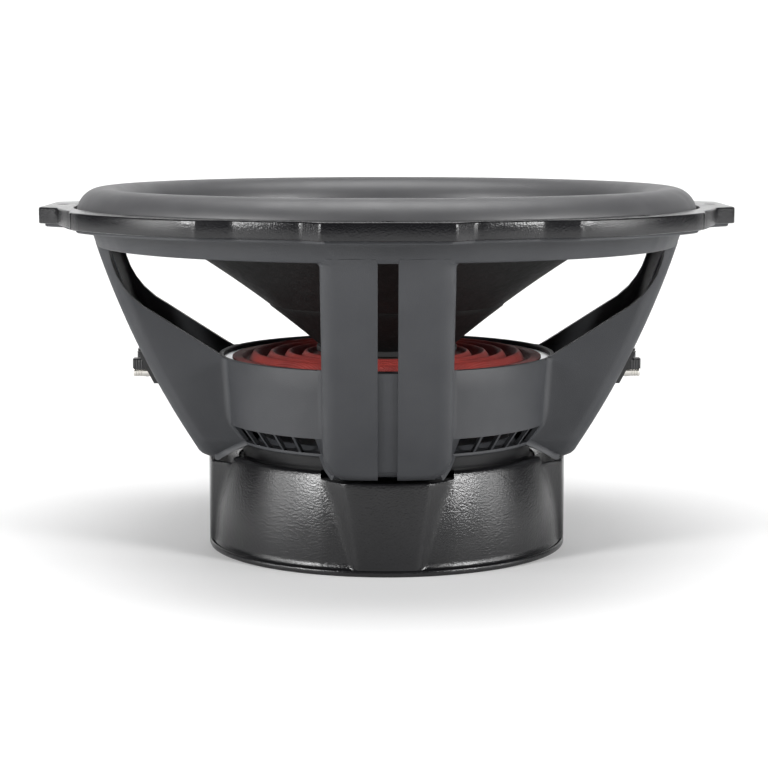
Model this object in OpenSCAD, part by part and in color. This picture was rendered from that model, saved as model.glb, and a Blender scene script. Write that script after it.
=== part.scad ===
// Car subwoofer speaker: ferrite motor in a rubber boot, four-spoke basket, moving cone.
// Millimetres, +Z up. The origin is the centre of the boot's underside.

/* [Flange and trim ring] */
// Overall diameter, across the flats of the narrow lobes
overall_d = 328; // [300:1:400]
// Radial width of the trim ring at a narrow lobe
trim_w = 14.2; // [12:0.2:16]
// Height of the trim ring's outer face
trim_h = 7.75; // [6.5:0.25:9.5]
// Thickness of the trim ring's top plate above the surround's foot
trim_plate_t = 3.8; // [3:0.1:5]
// How far the wide lobes stand inside the overall circle
wide_lobe_drop = 0.6; // [0:0.1:2]
// How far the recesses between lobes stand inside the overall circle
recess_drop = 5.7; // [4.5:0.1:6]
// Half the width of a narrow lobe's flat face
narrow_lobe_half = 28; // [24:0.5:31]
// Wall of the trim ring's skirt outside the metal flange
skirt_t = 2.5; // [2:0.1:3]
// Thickness of the basket's flange
flange_t = 4; // [3:0.2:5]
// Distance of the bolt circle inside the overall circle
bolt_inset = 7.5; // [7.2:0.1:8]
// Diameter of a mounting hole
bolt_hole_d = 5.5; // [4.5:0.1:5.6]

/* [Basket] */
// Depth of the basket, from the flange's underside to the top plate
basket_depth = 103.7; // [95:0.5:130]
// Depth of the solid band under the flange
band_h = 9.4; // [8:0.1:14]
// Wall of the basket
basket_wall = 3.5; // [2.6:0.1:4]
// Width of a spoke
spoke_w = 58; // [46:1:62]
// How far the spoke's outer line bows outwards
spoke_bulge = 4.4; // [2:0.2:6]
// Width of the slot and groove along each spoke
slot_w = 8.8; // [6:0.2:10]
// Depth of the groove below the slot
groove_t = 1.6; // [0.8:0.1:2]
// Height of the bowl that carries the spider, above the top plate
bowl_depth = 41.4; // [38:0.2:44]
// How far the spoke feet hang below the bowl's floor
toe_drop = 7.4; // [6:0.1:8]
// Height of the vent openings
vent_h = 7.9; // [6:0.1:9]
// Height of the lip below the vent openings
vent_lip = 1.6; // [1.2:0.1:2.4]
// Number of ribs across each vent
vent_ribs = 4; // [3:1:5]

/* [Motor] */
// Outer diameter of the magnets
magnet_d = 145; // [135:1:176]
// Thickness of one magnet
magnet_t = 14.75; // [12:0.25:18]
// Thickness of the top plate
top_plate_t = 10; // [8:0.5:12]
// Thickness of the back plate
back_plate_t = 10; // [8:0.5:12]
// Radial gap between the plates' rim and the magnets' rim
plate_inset = 2.5; // [1:0.5:4]
// Diameter of the vent through the pole piece
pole_vent_d = 24; // [16:1:30]
// Height of the shorting ring round the foot of the pole
short_ring_h = 5.5; // [3:0.5:6]
// Thickness of the boot's floor
boot_floor_t = 2.5; // [2:0.5:4]
// Rubber outside the magnets at the boot's pillars
boot_wall = 14.4; // [12:0.2:16]
// Diameter of the circle of screws that hold the basket to the top plate
screw_circle_d = 110; // [104:1:116]
// Thread diameter of the basket screws
screw_d = 5; // [4:0.5:6]

/* [Moving parts] */
// Inner diameter of the voice coil former
former_d = 63.4; // [50:0.2:77]
// Wall of the former
former_t = 0.4; // [0.3:0.1:0.6]
// Radial thickness of one winding
winding_t = 0.75; // [0.5:0.05:0.9]
// Height of the windings
winding_h = 28; // [22:1:30]
// Radial running gap on each side of the coil
coil_gap = 0.6; // [0.4:0.05:0.9]
// Half the width of the surround's roll
roll_r = 12; // [10:0.5:13]
// Thickness of the surround
surround_t = 1.5; // [1:0.1:2]
// Thickness of the cone
cone_t = 1.6; // [1:0.1:2]
// Diameter of the dust cap
dust_cap_d = 116; // [90:1:130]
// Height of the dust cap's dome
dust_cap_rise = 15; // [10:1:18]
// Number of rolls in the spider
spider_rolls = 4; // [3:1:6]
// Half the height of a spider roll
spider_wave = 2.3; // [1.5:0.1:2.6]
// Thickness of the spider's cloth
spider_t = 0.8; // [0.6:0.1:1]

/* [Terminals] */
// Distance between the two terminals of a pair
terminal_pitch = 23; // [20:0.5:25]
// Diameter of a terminal's barrel
barrel_d = 5.6; // [5:0.1:6]
// Diameter of the hole for the wire
wire_hole_d = 3.6; // [3:0.1:3.8]
// Travel of a push cap
cap_travel = 1.5; // [1:0.1:1.6]
// Height of the barrel's axis above the bowl's floor
terminal_rise = 33.3; // [32.5:0.1:34]
// Diameter of a tinsel lead
lead_d = 2; // [1.5:0.1:2.4]

/* [Hidden] */
$fn = 96;
hole_fn = 48;
eps = 0.01;
SPOKES = [0, 90, 180, 270];
LOBES = [0 : 45 : 315];

// Named clearances: glued faces, seated rims, sliding faces and pressed stems
glue_gap = 0.1;
seat_gap = 0.2;
slide_gap = 0.2;
press_gap = 0.05;
// Gap between the spokes' toes and the boot's pillars
foot_gap = 1.5;
// Gap between the roll and the trim ring's inner edge
roll_gap = 1.3;
// Room around a lead where it passes through the bowl's wall
lead_gap = 1.5;

// Heights of the stack, from the floor up
magnet_z = boot_floor_t + back_plate_t;
top_plate_z = magnet_z + 2 * magnet_t;
floor_z = top_plate_z + top_plate_t;
rim_z = floor_z + bowl_depth;
toe_z = floor_z - toe_drop;
flange_z = floor_z + basket_depth;
band_z = flange_z - band_h;
glue_z = flange_z + flange_t;
trim_z = glue_z + surround_t + trim_plate_t;
panel_drop = 5.5;
panel_top_z = floor_z - panel_drop;
pillar_top_z = toe_z - foot_gap;

// Radii of the rim, from the outside in
overall_r = overall_d / 2;
trim_in_r = overall_r - trim_w;
bolt_r = overall_r - bolt_inset;
recess_r = overall_r - recess_drop;
wide_r = overall_r - wide_lobe_drop;
roll_out_r = trim_in_r - roll_gap;
roll_mid_r = roll_out_r - roll_r;
roll_in_r = roll_mid_r - roll_r;
glue_w = 3.2;
glue_r = trim_in_r + glue_w;
cone_rim_w = 5.5;

// Radii of the motor, from the outside in
magnet_r = magnet_d / 2;
boot_r = magnet_r + boot_wall;
boot_lip_h = 3;
boot_lip_w = 2.4;
panel_lean = 5.5;
panel_r = boot_r - boot_lip_w;
panel_top_r = panel_r - panel_lean;
plate_r = magnet_r - plate_inset;
bowl_over = 9.2;
bowl_lean = 2;
bowl_foot = 6;
bowl_wall = 2.2;
bowl_r = magnet_r + bowl_over;
bowl_foot_r = bowl_r - bowl_lean;
floor_r = bowl_foot_r - bowl_foot;
landing_w = 8.8;
landing_t = 3;
landing_in_r = bowl_r - bowl_wall - landing_w;
landing_bare = 4.4;

// Radii of the coil, from the inside out
former_in_r = former_d / 2;
former_r = former_in_r + former_t;
winding_mid_r = former_r + winding_t;
winding_r = winding_mid_r + winding_t;
pole_r = former_in_r - coil_gap;
gap_r = winding_r + coil_gap;
screen_r = pole_vent_d / 2 + 1.8;
magnet_in_gap = 6;
magnet_in_r = gap_r + magnet_in_gap;

// Outer line of the basket: an arc from the flange's foot to the spoke's toe
flange_land = 6.3;
toe_over = 4.6;
line_top = [roll_out_r - flange_land, flange_z];
line_rise = 1.9;
line_foot = [boot_r + toe_over, toe_z + line_rise];
line_c = norm(line_top - line_foot);
line_r = line_c * line_c / (8 * spoke_bulge) + spoke_bulge / 2;
line_n = [line_top.y - line_foot.y, line_foot.x - line_top.x] / line_c;
line_centre = (line_top + line_foot) / 2 - line_n * (line_r - spoke_bulge);
toe_round = 8;
toe_root_in = 3;

// Cone line: from the neck to the flat rim under the surround
neck_rise = 3.9;
neck_z = rim_z + neck_rise;
cone_rim_rise = 0.6;
cone_rim_z = glue_z + cone_rim_rise;
cone_foot = [former_r + glue_gap, neck_z];
cone_head = [roll_in_r - cone_rim_w + 1, cone_rim_z - cone_t];
cone_bow = 2.6;
spider_drop = 1.9;
spider_z = rim_z - spider_drop;
coil_mid_z = top_plate_z + top_plate_t / 2;
cone_travel = 12;
former_foot_z = magnet_z + short_ring_h + cone_travel + 2;
former_over = 6;
roll_leg = 2;
roll_z = glue_z + roll_leg;

// Terminals
terminal_z = floor_z + terminal_rise;
face_r = line_at(terminal_z);
barrel_out = 8.2;
barrel_in = 7;
barrel_end_r = face_r + barrel_out;
barrel_root_r = face_r - barrel_in;
barrel_top_z = terminal_z + barrel_d / 2;
cap_wall = 1;
cap_half = barrel_d / 2 + slide_gap + cap_wall;
cap_foot_rise = 1.1;
cap_foot_z = terminal_z + cap_foot_rise;
spring_room = 0.9;
cap_side_gap = 0.6;
cap_roof_z = barrel_top_z + cap_travel + spring_room;
cap_top_z = cap_roof_z + cap_wall;
cap_mid_r = barrel_end_r - 3;
base_t = 1.8;
base_margin = 3;
base_drop = 5.5;
base_h = 15.5;
base_half = terminal_pitch / 2 + barrel_d / 2 + base_margin;
rivet_r = 1.5;
rivet_heights = [terminal_z - 2, terminal_z + 6];
lug_l = 7;
lug_w = 4;
lug_t = 0.8;
lug_hole_in = 2;
lug_end_r = barrel_root_r - lug_l;
collar_z = spider_z + spider_wave + spider_t / 2 + 0.4;
collar_w = 2;
// Leads: from a lug, through the bowl's wall and under the spider, to the former
lead_sag = 6;
lead_drop = 5.5;
lead_side = 6;
lead_steps = 20;

// ---------- helpers ----------

function polar(r, a) = [r * cos(a), r * sin(a)];
function unit(v) = v / norm(v);
function arc(c, r, a0, a1, n) = [for (i = [0 : n]) c + polar(r, a0 + (a1 - a0) * i / n)];

// Radius of the basket's outer line at a height
function line_at(z, inset = 0) =
    line_centre.x + sqrt(pow(line_r - inset, 2) - pow(z - line_centre.y, 2));

// Points of a bowed line between two points: bow is the rise of its middle, up and to the left
function bowed(p, q, bow, n, lift = 0) =
    let (d = unit(q - p), up = [-d.y, d.x])
    [for (i = [0 : n]) let (t = i / n) p + (q - p) * t + up * (4 * bow * t * (1 - t) + lift)];

function ring_of(p, t, ref, r, sides) =
    let (a = unit(cross(t, ref)), b = unit(cross(t, a)))
    [for (k = [0 : sides - 1]) p + r * (cos(360 * k / sides) * a + sin(360 * k / sides) * b)];

// Centre line of a lead whose lug is at y: t runs from 0 at the lug to 1 at the former
function lead_point(t, y) =
    let (
        r = former_r + lead_d / 2 + glue_gap,
        start = [lug_end_r + lug_hole_in, y, terminal_z + (lug_t + lead_d) / 2 + glue_gap],
        finish = [sqrt(r * r - lead_side * lead_side), sign(y) * lead_side,
            spider_z - lead_drop]
    )
    start + (finish - start) * t - [0, 0, lead_sag * pow(sin(180 * t), 2)];

// Share of a lead's run at which it passes through the bowl's wall
function lead_wall_t(y) =
    (lead_point(0, y).x - bowl_r + bowl_wall / 2) / (lead_point(0, y).x - lead_point(1, y).x);

// Solid tube of radius r along a list of points
module tube_along(pts, r, sides, ref) {
    n = len(pts);
    tangents = [for (i = [0 : n - 1]) unit(pts[min(i + 1, n - 1)] - pts[max(i - 1, 0)])];
    rings = [for (i = [0 : n - 1]) each ring_of(pts[i], tangents[i], ref, r, sides)];
    walls = [for (i = [0 : n - 2], k = [0 : sides - 1]) let (m = (k + 1) % sides)
        [i * sides + k, (i + 1) * sides + k, (i + 1) * sides + m, i * sides + m]];
    first = [for (k = [0 : sides - 1]) k];
    last = [for (k = [0 : sides - 1]) n * sides - 1 - k];
    polyhedron(rings, concat(walls, [first, last]));
}

module ring(r_in, r_out, z, h) {
    translate([0, 0, z])
        difference() {
            cylinder(r = r_out, h = h);
            translate([0, 0, -eps])
                cylinder(r = r_in, h = h + 2 * eps);
        }
}

// A cylinder lying along +X from x0 to x1 at height z
module rod_x(r, x0, x1, z, y = 0) {
    translate([x0, y, z])
        rotate([0, 90, 0])
            cylinder(r = r, h = x1 - x0, $fn = hole_fn);
}

// ---------- flange and trim ring ----------

// Lobed outline of the trim ring, drawn in by inset
module lobed_outline(inset) {
    recess_a = 13.1;
    wide_recess_a = 20.5;
    wide_a = 15.2;
    circle(r = recess_r - inset, $fn = 180);
    for (a = SPOKES)
        rotate(a)
            polygon([
                [0, 0], polar(recess_r - inset, -recess_a),
                [overall_r - inset, -narrow_lobe_half + inset / 2],
                [overall_r - inset, narrow_lobe_half - inset / 2],
                polar(recess_r - inset, recess_a)
            ]);
    for (a = SPOKES)
        rotate(a + 45)
            intersection() {
                circle(r = wide_r - inset, $fn = 180);
                polygon([
                    [0, 0], polar(recess_r - inset, -wide_recess_a),
                    polar(wide_r - inset, -wide_a + inset / 5), [overall_r + 9, -8],
                    [overall_r + 9, 8], polar(wide_r - inset, wide_a - inset / 5),
                    polar(recess_r - inset, wide_recess_a)
                ]);
            }
}

module bolt_holes() {
    for (a = LOBES)
        rotate(a)
            translate([bolt_r, 0, flange_z - 1])
                cylinder(d = bolt_hole_d, h = trim_z - flange_z + 2, $fn = hole_fn);
}

module trim_ring() {
    color([0.07, 0.07, 0.075])
        difference() {
            translate([0, 0, trim_z - trim_h])
                linear_extrude(trim_h)
                    lobed_outline(0);
            translate([0, 0, trim_z - trim_h - 1])
                linear_extrude(glue_z - trim_z + trim_h + 1)
                    lobed_outline(skirt_t);
            translate([0, 0, glue_z - 1])
                cylinder(r = glue_r + seat_gap, h = surround_t + 1);
            translate([0, 0, glue_z - 1])
                cylinder(r = trim_in_r, h = trim_h + 2);
            bolt_holes();
        }
}

// ---------- basket ----------

// Solid of revolution inside the basket's outer line, drawn in by inset
module basket_envelope(inset) {
    lean = 32;
    rise = 30;
    foot = toe_z + inset;
    toe_c = [line_at(foot + toe_round, inset) - toe_round / cos(lean), foot + toe_round];
    top_r = line_at(flange_z, inset);
    rotate_extrude()
        polygon(concat(
            [[0, floor_z + inset], [floor_r - toe_root_in, floor_z + inset]],
            arc(toe_c, toe_round, -90 - rise, -lean, 8),
            [for (i = [1 : 14]) let (z = toe_c.y + (flange_z - toe_c.y) * i / 14)
                [line_at(z, inset), z]],
            [[top_r, flange_z + inset + eps], [0, flange_z + inset + eps]]
        ));
}

// Everything inside the inner edge of the spokes, above the bowl's rim
module basket_inside() {
    edge_foot = [bowl_r + 2.8, rim_z + 1.8];
    edge_knee = edge_foot + [28.4, 19];
    edge_head = [line_at(band_z, basket_wall) - 1, band_z];
    rotate_extrude()
        polygon(concat(
            [[0, rim_z], [bowl_r, rim_z], edge_foot],
            bowed(edge_knee, edge_head, -5, 6),
            [[line_at(flange_z, basket_wall) - 1, flange_z + flange_t + 1],
             [0, flange_z + flange_t + 1]]
        ));
}

// Section of the bowl between two skins: the outer line, or the inner one at the wall's depth
module bowl_solid(wall) {
    shoulder_z = floor_z + vent_lip + vent_h;
    rotate_extrude()
        polygon([
            [0, floor_z + (wall > 0 ? basket_wall : 0)],
            [floor_r - wall, floor_z + (wall > 0 ? basket_wall : 0)],
            [floor_r - wall, floor_z + (wall > 0 ? basket_wall : vent_lip)],
            [bowl_foot_r - wall, shoulder_z],
            [bowl_r - wall, rim_z + (wall > 0 ? 1 : 0)],
            [0, rim_z + (wall > 0 ? 1 : 0)]
        ]);
}

module spoke_slab(half) {
    for (a = [0, 90])
        rotate(a)
            translate([-overall_r, -half, 0])
                cube([overall_d, 2 * half, trim_z + 1]);
}

// Vent openings round the foot of the bowl, between the spokes, with their ribs left standing
module vent_cut() {
    clear = spoke_w / 2 + 2;
    first_a = asin(clear / (floor_r + 3));
    pitch_a = (90 - 2 * first_a) / (vent_ribs + 1);
    rib_t = 1.1;
    difference() {
        rotate_extrude()
            translate([floor_r - basket_wall - 3, floor_z + vent_lip])
                square([bowl_foot + basket_wall + 8, vent_h]);
        spoke_slab(clear);
        for (q = SPOKES, i = [1 : vent_ribs])
            rotate(q + first_a + pitch_a * i)
                translate([0, -rib_t / 2, 0])
                    cube([overall_r, rib_t, rim_z]);
    }
}

module basket_screw_places() {
    for (a = LOBES)
        rotate(a + 22.5)
            translate([screw_circle_d / 2, 0, 0])
                children();
}

// Slot above, groove below, along the middle of each spoke
module spoke_slots() {
    slot_foot_z = rim_z + 3.7;
    for (a = SPOKES)
        rotate(a) {
            translate([bowl_r + 1, -slot_w / 2, slot_foot_z])
                cube([overall_r, slot_w, band_z - slot_foot_z]);
            difference() {
                translate([bowl_r, -slot_w / 2, toe_z - 1])
                    cube([overall_r, slot_w, slot_foot_z - toe_z + 2]);
                basket_envelope(groove_t);
            }
        }
}

module terminal_openings() {
    for (side = [0, 180])
        rotate(side) {
            for (s = [-1, 1])
                rod_x(barrel_d / 2 + seat_gap, face_r - 9, face_r + 9, terminal_z,
                    s * terminal_pitch / 2);
            for (z = rivet_heights)
                rod_x(rivet_r + seat_gap, face_r - 9, face_r + 9, z);
        }
}

// Holes that the leads pass through, in the bowl's wall
module lead_openings() {
    for (side = [0, 180], s = [-1, 1]) {
        place = lead_point(lead_wall_t(s * terminal_pitch / 2), s * terminal_pitch / 2);
        rotate(side)
            rod_x(lead_d / 2 + lead_gap, bowl_r - 9, bowl_r + 3, place.z, place.y);
    }
}

module basket() {
    color([0.30, 0.31, 0.33])
        difference() {
            union() {
                // Spokes: channels open towards the middle
                difference() {
                    intersection() {
                        basket_envelope(0);
                        spoke_slab(spoke_w / 2);
                    }
                    intersection() {
                        basket_envelope(basket_wall);
                        spoke_slab(spoke_w / 2 - basket_wall);
                    }
                    basket_inside();
                }
                // Band under the flange
                intersection() {
                    difference() {
                        basket_envelope(0);
                        basket_envelope(basket_wall);
                    }
                    translate([0, 0, band_z])
                        cylinder(r = overall_r, h = band_h);
                }
                translate([0, 0, flange_z])
                    difference() {
                        linear_extrude(flange_t)
                            lobed_outline(skirt_t + seat_gap);
                        translate([0, 0, -1])
                            cylinder(r = line_at(flange_z, basket_wall) - 1, h = flange_t + 2);
                    }
                bowl_solid(0);
            }
            bowl_solid(bowl_wall);
            translate([0, 0, floor_z - toe_drop - 1])
                cylinder(r = gap_r + 3, h = toe_drop + basket_wall + 2);
            translate([0, 0, toe_z - 1])
                cylinder(r = plate_r + seat_gap, h = toe_drop + 1);
            vent_cut();
            spoke_slots();
            bolt_holes();
            terminal_openings();
            lead_openings();
            basket_screw_places()
                translate([0, 0, floor_z - 1])
                    cylinder(r = screw_d / 2 + seat_gap, h = basket_wall + 2, $fn = hole_fn);
        }
    // Landing that the spider is glued to; its outer part stays bare
    color([0.30, 0.31, 0.33])
        ring(landing_in_r, bowl_r - bowl_wall + eps,
            spider_z - spider_t / 2 - landing_t, landing_t);
}

// ---------- suspension ----------

module surround() {
    foot_z = cone_rim_z + glue_gap;
    mid = [roll_mid_r, roll_z];
    in_a = 180 - asin((foot_z + surround_t - roll_z) / roll_r);
    color([0.16, 0.16, 0.17])
        rotate_extrude()
            polygon(concat(
                // Underside: foot on the cone's rim, roll, foot on the flange
                [[roll_in_r - cone_rim_w, foot_z], [roll_in_r + surround_t, foot_z]],
                arc(mid, roll_r - surround_t, 180, 0, 24),
                [[roll_out_r - surround_t, glue_z], [glue_r, glue_z]],
                // Upper face, back to the cone's rim
                [[glue_r, glue_z + surround_t], [roll_out_r, glue_z + surround_t]],
                arc(mid, roll_r, 0, in_a, 24),
                [[roll_in_r - cone_rim_w, foot_z + surround_t]]
            ));
}

module spider() {
    wave_in = former_r + 5;
    wave_out = landing_in_r - 0.5;
    steps = 8 * spider_rolls;
    crest = [for (i = [0 : steps]) [
        wave_in + (wave_out - wave_in) * i / steps, spider_z + spider_wave * sin(45 * i)
    ]];
    line = concat([[former_r + glue_gap, spider_z]], crest,
        [[bowl_r - bowl_wall - landing_bare, spider_z]]);
    lift = [0, spider_t / 2];
    color([0.72, 0.20, 0.16])
        rotate_extrude()
            polygon(concat([for (p = line) p - lift],
                [for (i = [len(line) - 1 : -1 : 0]) line[i] + lift]));
}

// ---------- moving parts ----------

// Height of the cone's upper face at a radius, with its lift above the straight line at a share t
function cone_lift(t) = 4 * cone_bow * t * (1 - t) + cone_t;
function cone_top_at(r) =
    let (
        d = cone_head - cone_foot,
        t = (r - cone_foot.x) / d.x,
        slope = d.y / norm(d)
    )
    cone_foot.y + d.y * t + cone_lift(t + cone_lift(t) * slope / d.x) * norm(d) / d.x;

module cone() {
    under = bowed(cone_foot, cone_head, cone_bow, 12);
    over = bowed(cone_foot, cone_head, cone_bow, 12, cone_t);
    color([0.10, 0.10, 0.11])
        rotate_extrude()
            polygon(concat(under, [[roll_in_r, cone_head.y], [roll_in_r, cone_rim_z]],
                [[over[12].x, cone_rim_z]],
                [for (i = [11 : -1 : 1]) over[i]], [[cone_foot.x, over[0].y]]));
}

module dust_cap() {
    half = dust_cap_d / 2;
    skin = 1;
    foot_z = cone_top_at(half) + glue_gap;
    dome_r = (half * half + dust_cap_rise * dust_cap_rise) / (2 * dust_cap_rise);
    dome_z = foot_z + dust_cap_rise - dome_r;
    color([0.13, 0.13, 0.14])
        intersection() {
            translate([0, 0, dome_z])
                difference() {
                    sphere(r = dome_r, $fn = 180);
                    sphere(r = dome_r - skin, $fn = 180);
                }
            translate([0, 0, foot_z])
                cylinder(r = half, h = dust_cap_rise + 1);
        }
}

module coil_former() {
    color([0.75, 0.72, 0.66])
        ring(former_in_r, former_r, former_foot_z, neck_z + former_over - former_foot_z);
}

module former_collar() {
    color([0.12, 0.12, 0.12])
        ring(former_r, former_r + collar_w, collar_z, neck_z - 0.6 - collar_z);
}

module winding_inner() {
    color([0.72, 0.38, 0.20])
        ring(former_r, winding_mid_r, coil_mid_z - winding_h / 2, winding_h);
}

module winding_outer() {
    color([0.66, 0.33, 0.18])
        ring(winding_mid_r, winding_r, coil_mid_z - winding_h / 2, winding_h);
}

// ---------- motor ----------

module top_plate() {
    color([0.10, 0.10, 0.11])
        difference() {
            ring(gap_r, plate_r, top_plate_z, top_plate_t);
            basket_screw_places()
                translate([0, 0, top_plate_z - 1])
                    cylinder(r = screw_d / 2 + press_gap, h = top_plate_t + 2, $fn = hole_fn);
        }
}

module magnet_upper() {
    color([0.17, 0.17, 0.18])
        ring(magnet_in_r, magnet_r, magnet_z + magnet_t, magnet_t);
}

module magnet_lower() {
    color([0.17, 0.17, 0.18])
        ring(magnet_in_r, magnet_r, magnet_z, magnet_t);
}

module back_plate() {
    flare = 4;
    screen_seat_h = 1;
    color([0.11, 0.11, 0.12])
        difference() {
            union() {
                translate([0, 0, boot_floor_t])
                    cylinder(r = plate_r, h = back_plate_t);
                translate([0, 0, boot_floor_t])
                    cylinder(r = pole_r, h = floor_z - boot_floor_t);
            }
            translate([0, 0, boot_floor_t - 1])
                cylinder(d = pole_vent_d, h = floor_z);
            translate([0, 0, floor_z - flare])
                cylinder(r1 = pole_vent_d / 2, r2 = pole_vent_d / 2 + flare, h = flare + eps);
            translate([0, 0, boot_floor_t - 1])
                cylinder(r = screen_r + seat_gap, h = screen_seat_h + 1);
        }
}

module shorting_ring() {
    color([0.78, 0.78, 0.80])
        ring(pole_r, magnet_in_r - seat_gap, magnet_z, short_ring_h);
}

module vent_screen() {
    // Holes in a hexagon of two rows round the middle one, sized to the vent
    hole_step = pole_vent_d * 0.175;
    hole_d = pole_vent_d * 0.125;
    color([0.20, 0.20, 0.21])
        translate([0, 0, boot_floor_t + glue_gap])
            difference() {
                cylinder(r = screen_r, h = 0.8);
                for (row = [0 : 2], i = [0 : max(0, 6 * row - 1)])
                    rotate(row > 0 ? 60 * i / row : 0)
                        translate([hole_step * row, 0, -1])
                            cylinder(d = hole_d, h = 3, $fn = hole_fn);
            }
}

// Pillar of the boot under one spoke: wide at the top, narrow at the foot, with bevelled sides
module boot_pillar() {
    top_half = 20.2;
    foot_half = 13.2;
    bevel = 0.72;
    depth = boot_r - magnet_r;
    intersection() {
        hull()
            for (level = [[0, foot_half], [pillar_top_z - 1, top_half]])
                translate([0, 0, level[0]])
                    linear_extrude(1)
                        polygon([
                            [magnet_r, -level[1] - bevel * depth],
                            [boot_r + 2, 2 * bevel - level[1]],
                            [boot_r + 2, level[1] - 2 * bevel],
                            [magnet_r, level[1] + bevel * depth]
                        ]);
        cylinder(r = boot_r, h = pillar_top_z);
    }
}

module magnet_boot() {
    panel_bow = 1.4;
    base_hole_in = 10;
    color([0.09, 0.09, 0.10])
        difference() {
            union() {
                rotate_extrude()
                    polygon(concat(
                        [[0, 0], [boot_r, 0], [boot_r, boot_lip_h]],
                        bowed([panel_r, boot_lip_h], [panel_top_r, panel_top_z],
                            -panel_bow, 8),
                        [[0, panel_top_z]]
                    ));
                for (a = SPOKES)
                    rotate(a)
                        boot_pillar();
            }
            translate([0, 0, boot_floor_t])
                cylinder(r = magnet_r + glue_gap, h = panel_top_z);
            translate([0, 0, -1])
                cylinder(r = plate_r - base_hole_in, h = boot_floor_t + 2);
            translate([0, 0, pillar_top_z])
                spoke_slab(spoke_w / 2 + 1.5);
        }
}

module basket_screws() {
    head_r = 4.4;
    head_h = 3.6;
    head_z = floor_z + basket_wall;
    bite = 8;
    color([0.15, 0.15, 0.16])
        basket_screw_places()
            difference() {
                union() {
                    translate([0, 0, head_z])
                        cylinder(r = head_r, h = head_h, $fn = hole_fn);
                    translate([0, 0, floor_z - bite])
                        cylinder(r = screw_d / 2, h = bite + basket_wall + eps, $fn = hole_fn);
                }
                translate([0, 0, head_z + 1.4])
                    cylinder(r = head_r / 2, h = head_h, $fn = 6);
            }
}

// ---------- terminals ----------

// side is 0 for the right-hand spoke and 180 for the left-hand one
module terminal_base(side) {
    color([0.06, 0.06, 0.065])
        rotate(side)
            difference() {
                intersection() {
                    basket_envelope(-base_t);
                    translate([bowl_r, -base_half, terminal_z - base_drop])
                        cube([overall_r, 2 * base_half, base_h]);
                }
                basket_envelope(0);
                for (s = [-1, 1]) {
                    rod_x(barrel_d / 2, barrel_root_r, barrel_end_r, terminal_z,
                        s * terminal_pitch / 2);
                    // Guide slot that a push cap slides in
                    translate([bowl_r, s * terminal_pitch / 2 - cap_half - cap_side_gap,
                        cap_foot_z - cap_travel - cap_side_gap])
                        cube([overall_r, 2 * (cap_half + cap_side_gap), base_h]);
                }
                for (z = rivet_heights)
                    rod_x(rivet_r + press_gap, barrel_root_r, barrel_end_r, z);
            }
}

module terminal_rivets(side) {
    head_r = 2.5;
    head_t = 1;
    color([0.70, 0.70, 0.72])
        rotate(side)
            for (z = rivet_heights) {
                head_x = line_at(z + head_r, -base_t) + 0.1;
                tail_x = line_at(z - head_r, basket_wall) - head_t - 0.3;
                rod_x(rivet_r, tail_x, head_x + 0.5, z);
                rod_x(head_r, head_x, head_x + head_t, z);
                rod_x(head_r, tail_x, tail_x + head_t, z);
            }
}

// y is the terminal's place across the spoke
module barrel(side, y) {
    bore_depth = 7.5;
    color([0.80, 0.79, 0.76])
        rotate(side)
            difference() {
                rod_x(barrel_d / 2, barrel_root_r, barrel_end_r, terminal_z, y);
                rod_x(wire_hole_d / 2, barrel_end_r - bore_depth, barrel_end_r + 1,
                    terminal_z, y);
            }
}

module push_cap(side, y) {
    skirt_z = barrel_top_z + cap_travel + slide_gap;
    face_gap = 0.5;
    rib_t = 0.35;
    rib_in = 1.2;
    rib_step = 1.5;
    color([0.06, 0.06, 0.065])
        rotate(side)
            difference() {
                union() {
                    translate([face_r - 3, y - cap_half, cap_foot_z])
                        cube([barrel_end_r - face_r + 3, 2 * cap_half, cap_top_z - cap_foot_z]);
                    for (s = [-1, 1], i = [0 : 2])
                        translate([barrel_end_r - rib_in - rib_step * i, y + s * cap_half - rib_t,
                            cap_foot_z])
                            cube([2 * rib_t, 2 * rib_t, cap_top_z - cap_foot_z]);
                }
                // Room for the barrel, right through
                translate([face_r - 4, y - cap_half + cap_wall, cap_foot_z - 1])
                    cube([barrel_end_r - face_r + 5, 2 * (cap_half - cap_wall),
                        skirt_z - cap_foot_z + 1]);
                // Pocket for the spring
                translate([face_r - 4, y - cap_half + cap_wall, skirt_z - eps])
                    cube([barrel_end_r - face_r + 4 - cap_wall, 2 * (cap_half - cap_wall),
                        cap_roof_z - skirt_z + eps]);
                basket_envelope(-base_t - face_gap);
            }
}

module cap_spring(side, y) {
    coil_r = 1.5;
    wire_r = 0.22;
    turns = 2.5;
    steps = 30;
    foot = barrel_top_z + wire_r + press_gap;
    top = cap_roof_z - wire_r - press_gap;
    color([0.75, 0.75, 0.76])
        rotate(side)
            translate([cap_mid_r, y, 0])
                tube_along([for (i = [0 : steps]) [
                    coil_r * cos(360 * turns * i / steps), coil_r * sin(360 * turns * i / steps),
                    foot + (top - foot) * i / steps
                ]], wire_r, 6, [0, 0, 1]);
}

module solder_lug(side, y) {
    color([0.82, 0.80, 0.74])
        rotate(side)
            difference() {
                translate([lug_end_r, y - lug_w / 2, terminal_z - lug_t / 2])
                    cube([lug_l, lug_w, lug_t]);
                translate([lug_end_r + lug_hole_in, y, terminal_z - lug_t])
                    cylinder(d = lead_d, h = 2 * lug_t, $fn = hole_fn);
            }
}

// Flexible lead from a lug, through the bowl's wall and under the spider, to the former
module tinsel_lead(side, y) {
    color([0.70, 0.42, 0.26])
        rotate(side)
            tube_along([for (i = [0 : lead_steps]) lead_point(i / lead_steps, y)],
                lead_d / 2, 8, [0, 1, 0]);
}

// ---------- the assembly ----------

front = -terminal_pitch / 2;
rear = terminal_pitch / 2;
right = 0;
left = 180;

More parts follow.
